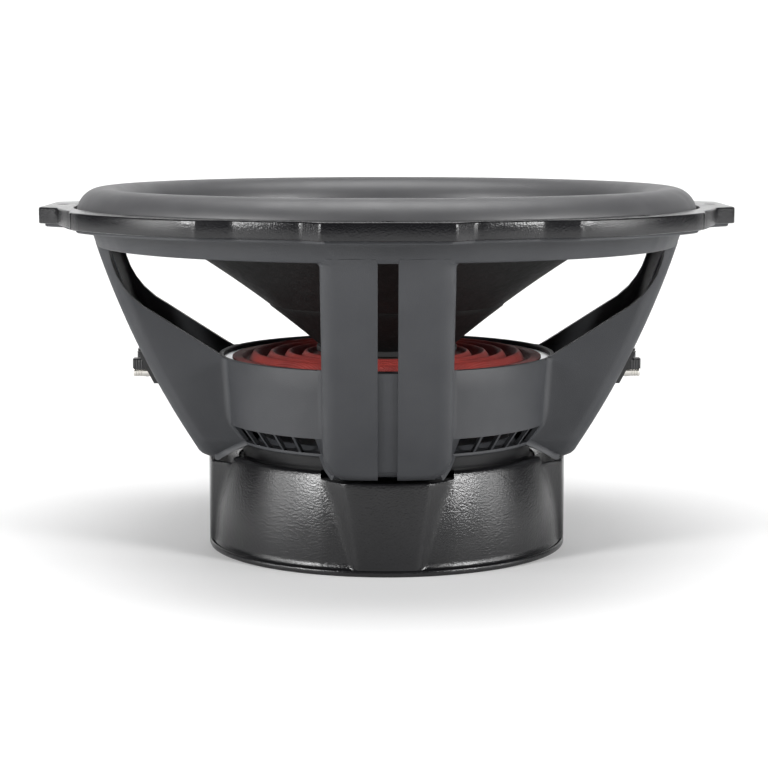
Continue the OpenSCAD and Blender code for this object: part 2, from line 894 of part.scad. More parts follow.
basket();
trim_ring();
surround();
spider();
cone();
dust_cap();
coil_former();
former_collar();
winding_inner();
winding_outer();
top_plate();
magnet_upper();
magnet_lower();
back_plate();
shorting_ring();
vent_screen();
magnet_boot();
basket_screws();
terminal_base(left);  // terminal_base_left
terminal_base(right);  // terminal_base_right
terminal_rivets(left);  // terminal_rivets_left
terminal_rivets(right);  // terminal_rivets_right
// A turn of 180 degrees puts the rear of the right-hand side at the front of the left
barrel(left, rear);  // barrel_left_front
barrel(left, front);  // barrel_left_rear
barrel(right, front);  // barrel_right_front
barrel(right, rear);  // barrel_right_rear
push_cap(left, rear);  // push_cap_left_front
push_cap(left, front);  // push_cap_left_rear
push_cap(right, front);  // push_cap_right_front
push_cap(right, rear);  // push_cap_right_rear
cap_spring(left, rear);  // cap_spring_left_front
cap_spring(left, front);  // cap_spring_left_rear
cap_spring(right, front);  // cap_spring_right_front
cap_spring(right, rear);  // cap_spring_right_rear
solder_lug(left, rear);  // solder_lug_left_front
solder_lug(left, front);  // solder_lug_left_rear
solder_lug(right, front);  // solder_lug_right_front
solder_lug(right, rear);  // solder_lug_right_rear
tinsel_lead(left, rear);  // tinsel_lead_left_front
tinsel_lead(left, front);  // tinsel_lead_left_rear
tinsel_lead(right, front);  // tinsel_lead_right_front
tinsel_lead(right, rear);  // tinsel_lead_right_rear
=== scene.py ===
# %% [markdown]
# # Car subwoofer speaker
# A heavy bass speaker standing on the rubber boot of its magnet. The engineering model gives the
# place, the size and the motion of every part. This lesson builds the finished surfaces around it:
# the cast basket, the moulded trim ring, the rubber surround, the cloth spider and the fittings.

# %% Load the engineering model
from math import asin, atan2, cos, degrees, pi, radians, sin, sqrt

import bmesh
import bpy
from mathutils import Matrix, Vector


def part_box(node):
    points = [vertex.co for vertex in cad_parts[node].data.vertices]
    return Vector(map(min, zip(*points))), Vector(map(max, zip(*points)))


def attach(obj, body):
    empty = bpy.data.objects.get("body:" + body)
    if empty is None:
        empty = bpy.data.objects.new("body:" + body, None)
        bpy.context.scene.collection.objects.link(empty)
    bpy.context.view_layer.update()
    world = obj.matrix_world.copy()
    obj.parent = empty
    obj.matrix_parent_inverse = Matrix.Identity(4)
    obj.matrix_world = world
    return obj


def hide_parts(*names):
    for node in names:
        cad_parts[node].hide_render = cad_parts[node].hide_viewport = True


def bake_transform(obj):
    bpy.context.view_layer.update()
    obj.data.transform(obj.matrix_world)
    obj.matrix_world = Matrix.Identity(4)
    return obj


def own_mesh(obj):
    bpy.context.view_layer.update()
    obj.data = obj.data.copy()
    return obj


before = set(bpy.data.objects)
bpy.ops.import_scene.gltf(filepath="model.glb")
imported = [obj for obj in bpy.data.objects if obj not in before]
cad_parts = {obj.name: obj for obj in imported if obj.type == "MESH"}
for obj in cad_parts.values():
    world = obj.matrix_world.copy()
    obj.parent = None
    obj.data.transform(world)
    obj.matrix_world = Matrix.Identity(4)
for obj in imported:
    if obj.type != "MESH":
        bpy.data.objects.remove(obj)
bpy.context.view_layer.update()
scene = bpy.context.scene
MM = 0.001
FRAME_BODY = "frame"
CONE_BODY = "cone_assembly"

# %% [markdown]
# ## Camera
# The view is from just above the horizon with a long lens, which keeps the speaker's outline
# nearly square-on. The camera aims at a point on the speaker's axis.

# %% Camera
CAMERA_DISTANCE = 1.0286
CAMERA_RISE = radians(7.506)
CAMERA_TURN = radians(0.25)
AIM_Z = 77.2 * MM
lens = bpy.data.cameras.new("camera")
lens.lens = 98.53
lens.sensor_width = 36
lens.shift_x = -0.0035
camera = bpy.data.objects.new("camera", lens)
reach = CAMERA_DISTANCE * cos(CAMERA_RISE)
camera_z = AIM_Z + CAMERA_DISTANCE * sin(CAMERA_RISE)
camera.location = (-reach * sin(CAMERA_TURN), -reach * cos(CAMERA_TURN), camera_z)
camera.rotation_euler = (pi / 2 - CAMERA_RISE, 0, -CAMERA_TURN)
scene.collection.objects.link(camera)
scene.camera = camera

# %% [markdown]
# ## Floor and light
# A black object is drawn by what its gloss reflects. A white floor that curves up into a wall and
# a dim world keep its faces dark and even. One broad lamp overhead lights the rims and casts the
# soft shadow under the speaker, and another behind it whitens the wall. At each side stand a
# small key box, which makes the speckled patch on the boot, and a larger, dimmer edge box.

# %% Floor and light
def plain_material(name, colour, roughness):
    material = bpy.data.materials.new(name)
    material.use_nodes = True
    shader = material.node_tree.nodes["Principled BSDF"]
    shader.inputs["Base Color"].default_value = (*colour, 1)
    shader.inputs["Roughness"].default_value = roughness
    return material


def lamp(name, place, aim, width, height, power):
    light = bpy.data.lights.new(name, "AREA")
    light.shape = "RECTANGLE"
    light.size, light.size_y = width, height
    light.energy = power
    holder = bpy.data.objects.new(name, light)
    holder.location = place
    holder.rotation_euler = (Vector(aim) - Vector(place)).to_track_quat("-Z", "Y").to_euler()
    scene.collection.objects.link(holder)


FLOOR_HALF = 3.0
WALL_Y = 2.2
SWEEP_R = 0.8
WALL_TOP = 3.0
sweep = bmesh.new()
profile = [(-FLOOR_HALF, 0.0), (WALL_Y - SWEEP_R, 0.0)]
profile += [(WALL_Y - SWEEP_R * (1 - sin(radians(a))), SWEEP_R * (1 - cos(radians(a))))
            for a in range(10, 91, 10)]
profile += [(WALL_Y, WALL_TOP)]
edge_verts = [sweep.verts.new((-FLOOR_HALF, y, z)) for y, z in profile]
edges = [sweep.edges.new(pair) for pair in zip(edge_verts, edge_verts[1:])]
grown = bmesh.ops.extrude_edge_only(sweep, edges=edges)["geom"]
far_edge = [g for g in grown if isinstance(g, bmesh.types.BMVert)]
bmesh.ops.translate(sweep, vec=(2 * FLOOR_HALF, 0, 0), verts=far_edge)
bmesh.ops.recalc_face_normals(sweep, faces=sweep.faces)
floor_mesh = bpy.data.meshes.new("floor")
sweep.to_mesh(floor_mesh)
sweep.free()
floor = bpy.data.objects.new("floor", floor_mesh)
floor_mesh.materials.append(plain_material("floor_white", (0.93, 0.93, 0.93), 0.7))
for face in floor_mesh.polygons:
    face.use_smooth = True
scene.collection.objects.link(floor)

WORLD_STRENGTH = 0.10
world = bpy.data.worlds.new("world")
world.use_nodes = True
world.node_tree.nodes["Background"].inputs["Color"].default_value = (1, 1, 1, 1)
world.node_tree.nodes["Background"].inputs["Strength"].default_value = WORLD_STRENGTH
scene.world = world
lamp("overhead", (0, 0.05, 1.10), (0, 0, 0.1), 1.0, 0.7, 10)
lamp("backdrop", (0, 0.9, 1.3), (0, WALL_Y, 0.5), 1.6, 0.8, 22)
BOX_DISTANCE = 1.3
# Each box's name, turn from the front in degrees, height, width, height of its face and power
BOXES = [("key", 51, 0.45, 0.25, 0.32, 13), ("edge", 74, 0.30, 0.40, 0.50, 5)]
for side in (-1, 1):
    for name, turn, height, width, tall, power in BOXES:
        place = (side * BOX_DISTANCE * sin(radians(turn)), -BOX_DISTANCE * cos(radians(turn)), height)
        lamp(f"{name}_{'left' if side < 0 else 'right'}", place, (0, 0, 0.1), width, tall, power)
scene.view_settings.view_transform = "Standard"

# %% [markdown]
# ## Shared effects
# Several finishes share the same small effects, so each is a node group that puts out one number
# that changes over the surface. The moulded grain of the trim and the boot is a field of soft
# cells with fine noise on it. Mottle is a slow, weak change of shine, as on every real casting.
# Turning marks are rings round the speaker's axis, and the weave is two sets of crossing threads.

# %% Node groups
def new_group(name, inputs, output):
    """A node group fed by Object coordinates, with number inputs and one number output."""
    group = bpy.data.node_groups.new(name, "ShaderNodeTree")
    for label, value in inputs.items():
        socket = group.interface.new_socket(label, in_out="INPUT", socket_type="NodeSocketFloat")
        socket.default_value = value
    group.interface.new_socket(output, in_out="OUTPUT", socket_type="NodeSocketFloat")
    inlet = group.nodes.new("NodeGroupInput")
    outlet = group.nodes.new("NodeGroupOutput")
    place = group.nodes.new("ShaderNodeTexCoord").outputs["Object"]
    return group, inlet, outlet, place


def wire(group, node_type, links=None, **settings):
    """Adds a node, sets its properties and joins its named or numbered inputs."""
    node = group.nodes.new(node_type)
    for key, value in settings.items():
        setattr(node, key, value)
    for key, source in (links or {}).items():
        if isinstance(source, bpy.types.NodeSocket):
            group.links.new(source, node.inputs[key])
        else:
            node.inputs[key].default_value = source
    return node


def calculate(group, operation, a, b=0.0):
    return wire(group, "ShaderNodeMath", {0: a, 1: b}, operation=operation).outputs[0]


grain_group, inlet, outlet, place = new_group("moulded_grain", {"Scale": 900.0, "Fineness": 0.35}, "Height")
cells = wire(grain_group, "ShaderNodeTexVoronoi", {"Vector": place, "Scale": inlet.outputs["Scale"]},
             feature="SMOOTH_F1")
fine_scale = calculate(grain_group, "MULTIPLY", inlet.outputs["Scale"], 2.6)
fine = wire(grain_group, "ShaderNodeTexNoise", {"Vector": place, "Scale": fine_scale, "Detail": 2.0})
fine_part = calculate(grain_group, "MULTIPLY", fine.outputs[0], inlet.outputs["Fineness"])
height = calculate(grain_group, "ADD", cells.outputs["Distance"], fine_part)
grain_group.links.new(height, outlet.inputs["Height"])

mottle_group, inlet, outlet, place = new_group("mottle", {"Scale": 30.0, "Low": 0.4, "High": 0.5}, "Value")
slow = wire(mottle_group, "ShaderNodeTexNoise",
            {"Vector": place, "Scale": inlet.outputs["Scale"], "Detail": 4.0})
ranged = wire(mottle_group, "ShaderNodeMapRange", {0: slow.outputs[0], 1: 0.3, 2: 0.7,
              3: inlet.outputs["Low"], 4: inlet.outputs["High"]})
mottle_group.links.new(ranged.outputs[0], outlet.inputs["Value"])

turning_group, inlet, outlet, place = new_group("turning_marks", {"Pitch": 0.0006, "Waver": 0.4}, "Height")
axis_free = wire(turning_group, "ShaderNodeVectorMath", {0: place, 1: (1, 1, 0)}, operation="MULTIPLY")
radius = wire(turning_group, "ShaderNodeVectorMath", {0: axis_free.outputs[0]}, operation="LENGTH")
wobble = wire(turning_group, "ShaderNodeTexNoise", {"Vector": place, "Scale": 60.0})
turns = calculate(turning_group, "DIVIDE", radius.outputs["Value"], inlet.outputs["Pitch"])
waver = calculate(turning_group, "MULTIPLY", wobble.outputs[0], inlet.outputs["Waver"])
phase = calculate(turning_group, "ADD", calculate(turning_group, "MULTIPLY", turns, 2 * pi), waver)
turning_group.links.new(calculate(turning_group, "SINE", phase), outlet.inputs["Height"])

weave_group, inlet, outlet, place = new_group("weave", {"Pitch": 0.0007}, "Height")
parts = wire(weave_group, "ShaderNodeSeparateXYZ", {0: place})
waves = []
for axis in (0, 1):
    threads = calculate(weave_group, "DIVIDE", parts.outputs[axis], inlet.outputs["Pitch"])
    waves.append(calculate(weave_group, "SINE", calculate(weave_group, "MULTIPLY", threads, 2 * pi)))
weave_group.links.new(calculate(weave_group, "MULTIPLY", *waves), outlet.inputs["Height"])
print("node groups:", ", ".join(group.name for group in bpy.data.node_groups))

# %% [markdown]
# ## Finishes
# Each finish is a Principled shader with its constants on its own sockets. Shine comes from a
# mottle group, the colour varies a little between two tones, and relief comes from one of the
# shared groups through a Bump node.

# %% A function that makes a finish
def finish(name, dark, light, shine, relief=None, depth=0.0, tone_scale=45.0, **constants):
    """dark and light are two tones of the colour, shine the lowest and highest roughness."""
    material = bpy.data.materials.new(name)
    material.use_nodes = True
    tree = material.node_tree
    shader = tree.nodes["Principled BSDF"]
    for socket, value in constants.items():
        shader.inputs[socket.replace("_", " ")].default_value = value
    tone = wire(tree, "ShaderNodeGroup", node_tree=mottle_group)
    tone.inputs["Scale"].default_value = tone_scale
    tone.inputs["Low"].default_value, tone.inputs["High"].default_value = 0.0, 1.0
    mix = wire(tree, "ShaderNodeMix", {0: tone.outputs[0]}, data_type="RGBA")
    mix.inputs[6].default_value = (*dark, 1)
    mix.inputs[7].default_value = (*light, 1)
    tree.links.new(mix.outputs[2], shader.inputs["Base Color"])
    rough = wire(tree, "ShaderNodeGroup", node_tree=mottle_group)
    rough.inputs["Scale"].default_value = tone_scale * 1.7
    rough.inputs["Low"].default_value, rough.inputs["High"].default_value = shine
    tree.links.new(rough.outputs[0], shader.inputs["Roughness"])
    if relief:
        group, values = relief
        pattern = wire(tree, "ShaderNodeGroup", node_tree=group)
        for label, value in values.items():
            pattern.inputs[label].default_value = value
        height = pattern.outputs[0]
        bump = wire(tree, "ShaderNodeBump", {"Strength": 1.0, "Distance": depth, "Height": height})
        tree.links.new(bump.outputs[0], shader.inputs["Normal"])
    return material


# %% The finishes
GREY_COAT = finish("textured_coat", (0.027, 0.0285, 0.032), (0.034, 0.0355, 0.039), (0.50, 0.58),
                   (grain_group, {"Scale": 2600.0, "Fineness": 0.6}), 0.05 * MM, Specular_IOR_Level=0.40)
TRIM_BLACK = finish("trim_moulding", (0.004, 0.004, 0.005), (0.007, 0.007, 0.008), (0.18, 0.26),
                    (grain_group, {"Scale": 1300.0, "Fineness": 0.6}), 0.08 * MM, Specular_IOR_Level=0.45)
SURROUND_RUBBER = finish("surround_rubber", (0.052, 0.052, 0.055), (0.062, 0.062, 0.065), (0.42, 0.50),
                         (grain_group, {"Scale": 3200.0, "Fineness": 0.8}), 0.02 * MM,
                         Specular_IOR_Level=0.65)
BOOT_RUBBER = finish("boot_rubber", (0.004, 0.004, 0.0045), (0.007, 0.007, 0.008), (0.18, 0.26),
                     (grain_group, {"Scale": 1200.0, "Fineness": 0.6}), 0.09 * MM, Specular_IOR_Level=0.45)
SPIDER_CLOTH = finish("spider_cloth", (0.18, 0.012, 0.009), (0.27, 0.023, 0.016), (0.62, 0.74),
                      (weave_group, {"Pitch": 0.9 * MM}), 0.10 * MM, tone_scale=70.0)
CONE_PAPER = finish("cone_pulp", (0.003, 0.003, 0.003), (0.006, 0.006, 0.006), (0.58, 0.70),
                    (grain_group, {"Scale": 700.0, "Fineness": 1.2}), 0.08 * MM, tone_scale=160.0,
                    Specular_IOR_Level=0.30)
CAP_PAPER = finish("dust_cap_pulp", (0.016, 0.016, 0.018), (0.026, 0.026, 0.028), (0.38, 0.48),
                   (grain_group, {"Scale": 900.0, "Fineness": 1.0}), 0.05 * MM, tone_scale=120.0)
FORMER_FILM = finish("former_film", (0.016, 0.012, 0.010), (0.024, 0.018, 0.014), (0.30, 0.40),
                     (weave_group, {"Pitch": 0.5 * MM}), 0.02 * MM)
COLLAR_PAPER = finish("collar_kraft", (0.006, 0.006, 0.006), (0.010, 0.010, 0.010), (0.70, 0.80),
                      (grain_group, {"Scale": 1500.0, "Fineness": 1.0}), 0.04 * MM)
COPPER_WIRE = finish("enamelled_copper", (0.60, 0.20, 0.07), (0.74, 0.30, 0.13), (0.24, 0.34),
                     Metallic=1.0, Coat_Weight=0.6)
MOTOR_STEEL = finish("black_zinc", (0.003, 0.003, 0.0035), (0.006, 0.006, 0.007), (0.36, 0.48),
                     (turning_group, {"Pitch": 0.5 * MM, "Waver": 1.5}), 0.01 * MM, Specular_IOR_Level=0.25)
FERRITE = finish("ground_ferrite", (0.035, 0.035, 0.038), (0.055, 0.055, 0.058), (0.48, 0.66),
                 (grain_group, {"Scale": 1400.0, "Fineness": 1.0}), 0.05 * MM)
ALUMINIUM = finish("turned_aluminium", (0.72, 0.72, 0.74), (0.82, 0.82, 0.83), (0.26, 0.38),
                   (turning_group, {"Pitch": 0.4 * MM, "Waver": 1.0}), 0.01 * MM, Metallic=1.0)
SCREEN_STEEL = finish("screen_black", (0.025, 0.025, 0.027), (0.035, 0.035, 0.037), (0.40, 0.50),
                      (grain_group, {"Scale": 2000.0, "Fineness": 0.5}), 0.02 * MM)
SCREW_STEEL = finish("black_oxide", (0.030, 0.030, 0.032), (0.050, 0.050, 0.053), (0.30, 0.42),
                     (grain_group, {"Scale": 1800.0, "Fineness": 0.4}), 0.01 * MM, Metallic=1.0)
TERMINAL_BLACK = finish("terminal_moulding", (0.010, 0.010, 0.010), (0.016, 0.016, 0.017), (0.28, 0.36),
                        (grain_group, {"Scale": 2200.0, "Fineness": 0.5}), 0.02 * MM)
CAP_BLACK = finish("button_moulding", (0.014, 0.014, 0.015), (0.020, 0.020, 0.021), (0.34, 0.44),
                   (grain_group, {"Scale": 2400.0, "Fineness": 0.5}), 0.02 * MM)
NICKEL = finish("nickel_plate", (0.62, 0.60, 0.56), (0.72, 0.70, 0.66), (0.14, 0.24), Metallic=1.0)
BRIGHT_STEEL = finish("bright_steel", (0.55, 0.55, 0.57), (0.66, 0.66, 0.68), (0.18, 0.30), Metallic=1.0)
TINNED_BRASS = finish("tinned_brass", (0.66, 0.60, 0.46), (0.76, 0.72, 0.60), (0.24, 0.36), Metallic=1.0)
TINSEL_COPPER = finish("tinsel_braid", (0.55, 0.26, 0.13), (0.70, 0.38, 0.22), (0.30, 0.45), Metallic=1.0)
print(len(bpy.data.materials), "materials")

# %% [markdown]
# ## Modelling helpers
# Almost every part here is either turned round the axis or drawn along rows of a grid. The first
# is a spin of a closed outline. For the second, a flat grid is made by one operator and each of
# its corners is then moved to its place, so rows and columns follow the shape's own edges.

# %% Helpers for turned and gridded shapes
def turned(bm, outline, steps=180, start=0.0):
    """Spins a closed outline of (radius, height) in millimetres round the Z axis."""
    verts = [bm.verts.new((r * MM * cos(start), r * MM * sin(start), z * MM)) for r, z in outline]
    edges = [bm.edges.new(pair) for pair in zip(verts, verts[1:] + verts[:1])]
    bmesh.ops.spin(bm, geom=verts + edges, cent=(0, 0, 0), axis=(0, 0, 1), angle=2 * pi, steps=steps,
                   use_merge=True)


def gridded(bm, columns, rows, place, hole=None):
    """A grid whose corner (i, j) goes to place(i, j), in millimetres; hole(i, j) leaves a cell out."""
    made = bmesh.ops.create_grid(bm, x_segments=columns, y_segments=rows, size=1.0)["verts"]
    index = {v: (round((v.co.x + 1) * columns / 2), round((v.co.y + 1) * rows / 2)) for v in made}
    if hole:
        cells = {f: (min(index[v][0] for v in f.verts), min(index[v][1] for v in f.verts))
                 for f in {f for v in made for f in v.link_faces}}
        bmesh.ops.delete(bm, geom=[f for f, cell in cells.items() if hole(*cell)], context="FACES_ONLY")
    for v, (i, j) in index.items():
        if v.is_valid:
            v.co = Vector(place(i, j)) * MM


def tidied(bm):
    """Merges doubles, drops loose corners and turns every face outwards."""
    bmesh.ops.remove_doubles(bm, verts=bm.verts, dist=0.002 * MM)
    bmesh.ops.dissolve_degenerate(bm, edges=bm.edges, dist=0.002 * MM)
    loose = [v for v in bm.verts if not v.link_faces]
    bmesh.ops.delete(bm, geom=loose, context="VERTS")
    bmesh.ops.recalc_face_normals(bm, faces=bm.faces)
    return bm


def as_object(bm, name):
    """Puts a bmesh into the scene as an object."""
    mesh = bpy.data.meshes.new(name)
    bm.to_mesh(mesh)
    bm.free()
    made = bpy.data.objects.new(name, mesh)
    scene.collection.objects.link(made)
    return made


def into(bm, other):
    """Adds the faces of one bmesh to another."""
    carrier = bpy.data.meshes.new("carrier")
    other.to_mesh(carrier)
    other.free()
    bm.from_mesh(carrier)
    bpy.data.meshes.remove(carrier)


def settled(made):
    """Turns an object with modifiers into a bmesh of what they make, and removes the object."""
    baked = bpy.data.meshes.new_from_object(made.evaluated_get(bpy.context.evaluated_depsgraph_get()))
    bm = bmesh.new()
    bm.from_mesh(baked)
    bpy.data.objects.remove(made)
    bpy.data.meshes.remove(baked)
    return bm


def drilled(bm, cutters):
    """Cuts solids out of a closed shape."""
    body = as_object(bm, "body")
    tool = as_object(cutters, "tool")
    cut = body.modifiers.new("cut", "BOOLEAN")
    cut.operation, cut.solver, cut.object = "DIFFERENCE", "EXACT", tool
    bpy.context.view_layer.update()
    result = settled(body)
    bpy.data.objects.remove(tool)
    return result


def cylinder_between(bm, start, end, radius, segments=48):
    """A closed cylinder between two points, in millimetres."""
    axis = Vector(end) - Vector(start)
    turn = axis.to_track_quat("Z", "Y").to_matrix().to_4x4()
    middle = Matrix.Translation((Vector(start) + Vector(end)) / 2 * MM)
    bmesh.ops.create_cone(bm, cap_ends=True, segments=segments, radius1=radius * MM, radius2=radius * MM,
                          depth=axis.length * MM, matrix=middle @ turn)


def shown(bm, name, material, replaces, sharp=32):
    """Puts a finished mesh into the scene, with its finish and what it stands for."""
    made = as_object(tidied(bm), name)
    made.data.materials.append(material)
    for face in made.data.polygons:
        face.use_smooth = True
    made.data.set_sharp_from_angle(angle=radians(sharp))
    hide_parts(*replaces)
    print(f"{name}: {len(made.data.polygons)} faces")
    return made


def polar(radius, turn):
    """A point at a radius, turned by an angle in degrees."""
    return Vector((radius * cos(radians(turn)), radius * sin(radians(turn))))


def arc(centre, radius, start, end, steps):
    """Points on an arc, angles in degrees."""
    return [(centre[0] + radius * cos(radians(start + (end - start) * i / steps)),
             centre[1] + radius * sin(radians(start + (end - start) * i / steps))) for i in range(steps + 1)]


def bowed(p, q, bow, steps, lift=0.0):
    """A line from p to q that bows to its left by bow, moved sideways by lift."""
    p, q = Vector(p), Vector(q)
    left = Vector((p.y - q.y, q.x - p.x)).normalized()
    return [tuple(p.lerp(q, i / steps) + left * (4 * bow * i / steps * (1 - i / steps) + lift))
            for i in range(steps + 1)]


def softened(before, corner, after, reach, steps=5):
    """A corner drawn as a small curve that starts and ends reach away from it."""
    a = corner + (before - corner).normalized() * reach
    b = corner + (after - corner).normalized() * reach
    return [a.lerp(corner, t).lerp(corner.lerp(b, t), t) for t in (i / steps for i in range(steps + 1))]


# %% [markdown]
# ## Driving sizes
# The heights and radii of the parts come from the boxes of the engineering parts, so nothing
# has to be fitted. The few sizes that a box can't tell are named here, in millimetres.

# %% Driving sizes
def low(node):
    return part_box(node)[0] / MM


def high(node):
    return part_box(node)[1] / MM


OVERALL_R = high("trim_ring").x
TRIM_TOP = high("trim_ring").z
TRIM_FOOT = low("trim_ring").z
GLUE_Z = high("basket").z
FLANGE_T = 4.0
FLANGE_Z = GLUE_Z - FLANGE_T
FLOOR_Z = high("top_plate").z
BOOT_R = high("magnet_boot").x
BOOT_TOP = high("magnet_boot").z
TOE_Z = low("basket").z
WALL = 3.5
BAND_Z = FLANGE_Z - 9.4
RIM_Z = FLOOR_Z + 41.4
MAGNET_R = high("magnet_upper").x
BOWL_R = MAGNET_R + 9.2
PLATE_R = high("top_plate").x
FORMER_R = high("coil_former").x
TRIM_IN_R = OVERALL_R - 14.2
ROLL_OUT_R = TRIM_IN_R - 1.3
ROLL_R = 12.0
ROLL_MID_R = ROLL_OUT_R - ROLL_R
ROLL_IN_R = ROLL_MID_R - ROLL_R
BOLT_R = OVERALL_R - 7.5
BOLT_HOLE_R = 2.75
print(f"overall {2 * OVERALL_R:.0f} mm, trim top {TRIM_TOP:.1f}, flange {FLANGE_Z:.1f}, bowl rim {RIM_Z:.1f}")

# %% [markdown]
# ## The lobed rim
# The trim ring and the flange under it share one outline: four narrow lobes with flat faces,
# four wide lobes between them and shallow recesses. Both are closed bands whose rows run round
# this outline or round a circle, so their columns join the same places on every row.

# %% Outline of the rim
NARROW_HALF = 28.0
RECESS_R = OVERALL_R - 5.7
WIDE_R = OVERALL_R - 0.6
WIDE_HALF_TURN = 15.2
# Where each shallow recess starts and ends, in degrees from a narrow lobe's middle
FIRST_RECESS = (13.1, 24.5)
SECOND_RECESS = (65.5, 76.9)
CORNER_SOFTNESS = 1.3


def rim_outline(inset):
    """Points round the lobed outline, drawn in by inset, in millimetres."""
    recess, wide, narrow = RECESS_R - inset, WIDE_R - inset, OVERALL_R - inset
    half = NARROW_HALF - inset / 2
    wide_turn = WIDE_HALF_TURN - inset / 5
    runs = {1: (recess, *FIRST_RECESS), 3: (wide, 45 - wide_turn, 45 + wide_turn),
            5: (recess, *SECOND_RECESS)}
    corners = [Vector((narrow, half))]
    for r, start, end in runs.values():
        corners += [polar(r, start), polar(r, end)]
    corners.append(Vector((half, narrow)))
    quarter = [Vector((narrow, -half / 3)), Vector((narrow, half / 3))]
    for k, corner in enumerate(corners):
        before = corners[k - 1] if k else Vector((narrow, 0))
        after = corners[k + 1] if k < len(corners) - 1 else Vector((0, narrow))
        quarter += softened(before, corner, after, CORNER_SOFTNESS)
        if k in runs:
            r, start, end = runs[k]
            margin = degrees(CORNER_SOFTNESS * 2 / r)
            quarter += [Vector(p) for p in arc((0, 0), r, start + margin, end - margin, 10)]
    return [Matrix.Rotation(radians(90 * turn), 2) @ p for turn in range(4) for p in quarter]


def lobed(inset, z):
    """A row round the lobed outline at one height."""
    return [(p.x, p.y, z) for p in rim_outline(inset)]


def rounded(radius, z):
    """A row round a circle, with its columns where the lobed outline has them."""
    return [(*(p.normalized() * radius), z) for p in rim_outline(0)]


def banded(bm, rows):
    """A closed band: rows of equal length, joined to each other, round the axis and back to the first."""
    count = len(rows[0])
    gridded(bm, count, len(rows), lambda i, j: rows[j % len(rows)][i % count])


def bolt_holes():
    cutters = bmesh.new()
    for turn in range(8):
        x, y = polar(BOLT_R, 45 * turn)
        cylinder_between(cutters, (x, y, FLANGE_Z - 5), (x, y, TRIM_TOP + 5), BOLT_HOLE_R)
    return cutters


# %% Trim ring
SKIRT_T = 2.5
SEAT_Z = GLUE_Z + 1.5
SEAT_R = TRIM_IN_R + 3.4
trim = bmesh.new()
banded(trim, [
    lobed(SKIRT_T, TRIM_FOOT), lobed(0.5, TRIM_FOOT), lobed(0.15, TRIM_FOOT + 0.15), lobed(0, TRIM_FOOT + 0.5),
    lobed(0, TRIM_TOP - 1.0), lobed(0.1, TRIM_TOP - 0.55), lobed(0.35, TRIM_TOP - 0.2),
    lobed(0.8, TRIM_TOP - 0.03), lobed(1.2, TRIM_TOP),
    rounded(TRIM_IN_R + 1.6, TRIM_TOP), rounded(TRIM_IN_R + 0.9, TRIM_TOP - 0.15),
    rounded(TRIM_IN_R + 0.3, TRIM_TOP - 0.6), rounded(TRIM_IN_R, TRIM_TOP - 1.4),
    rounded(TRIM_IN_R, SEAT_Z), rounded(SEAT_R, SEAT_Z), rounded(SEAT_R, GLUE_Z), lobed(SKIRT_T, GLUE_Z)])
trim = drilled(tidied(trim), bolt_holes())
trim_ring = shown(trim, "trim_moulding", TRIM_BLACK, ["trim_ring"])
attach(trim_ring, FRAME_BODY)

# %% [markdown]
# ## The cast basket
# The basket is one aluminium casting: a flange and band at the top, a bowl that carries the
# spider, and four channel-shaped spokes between them. Each spoke is drawn as one thin sheet,
# with round corners and a groove, and the Solidify modifier gives it the wall of a casting.
# The spokes' outer line is an arc, from the flange's foot down to the spoke's toe.

# %% The outer line of the basket
LINE_TOP = Vector((ROLL_OUT_R - 6.3, FLANGE_Z))
LINE_FOOT = Vector((BOOT_R + 4.6, TOE_Z + 1.9))
LINE_BULGE = 4.4
line_length = (LINE_TOP - LINE_FOOT).length
LINE_R = line_length ** 2 / (8 * LINE_BULGE) + LINE_BULGE / 2
line_side = Vector((LINE_TOP.y - LINE_FOOT.y, LINE_FOOT.x - LINE_TOP.x)) / line_length
LINE_CENTRE = (LINE_TOP + LINE_FOOT) / 2 - line_side * (LINE_R - LINE_BULGE)


def outer_r(z, inset=0.0):
    """Radius of the basket's outer line at a height."""
    return LINE_CENTRE.x + sqrt((LINE_R - inset) ** 2 - (z - LINE_CENTRE.y) ** 2)


# %% Flange and band
FLANGE_INSET = SKIRT_T + 0.2
flange = bmesh.new()
banded(flange, [
    rounded(outer_r(BAND_Z, WALL) + 0.6, BAND_Z), rounded(outer_r(BAND_Z) - 0.9, BAND_Z),
    rounded(outer_r(BAND_Z) - 0.2, BAND_Z + 0.3), rounded(outer_r(BAND_Z + 1), BAND_Z + 1),
    *[rounded(outer_r(z), z) for z in (BAND_Z + 4, BAND_Z + 7, FLANGE_Z - 1.2)],
    rounded(outer_r(FLANGE_Z) + 0.3, FLANGE_Z - 0.3), rounded(outer_r(FLANGE_Z) + 1.2, FLANGE_Z),
    lobed(FLANGE_INSET + 0.6, FLANGE_Z), lobed(FLANGE_INSET, FLANGE_Z + 0.5),
    lobed(FLANGE_INSET, GLUE_Z - 0.4), lobed(FLANGE_INSET + 0.4, GLUE_Z),
    rounded(outer_r(FLANGE_Z, WALL) - 0.4, GLUE_Z), rounded(outer_r(FLANGE_Z, WALL) - 1, GLUE_Z - 0.6),
    *[rounded(outer_r(z, WALL) - 1, z) for z in (FLANGE_Z, BAND_Z + 5)],
    rounded(outer_r(BAND_Z, WALL), BAND_Z + 0.6)])
casting = drilled(tidied(flange), bolt_holes())
print("flange and band:", len(casting.faces), "faces")

# %% Bowl with its vents
BOWL_WALL = 2.2
LEAD_HOLE_Y, LEAD_HOLE_Z = 9.8, 82.4
LEAD_HOLE_R = 2.5
BOWL_FOOT_R = BOWL_R - 2
FLOOR_R = BOWL_FOOT_R - 6
HOLE_R = 37.2
SCREW_LAND_R = 65.0
VENT_LOW = FLOOR_Z + 1.6
VENT_HIGH = VENT_LOW + 7.9
VENTS = [(24.5, 32.5), (33.5, 40.5), (41.5, 48.5), (49.5, 56.5), (57.5, 65.5)]


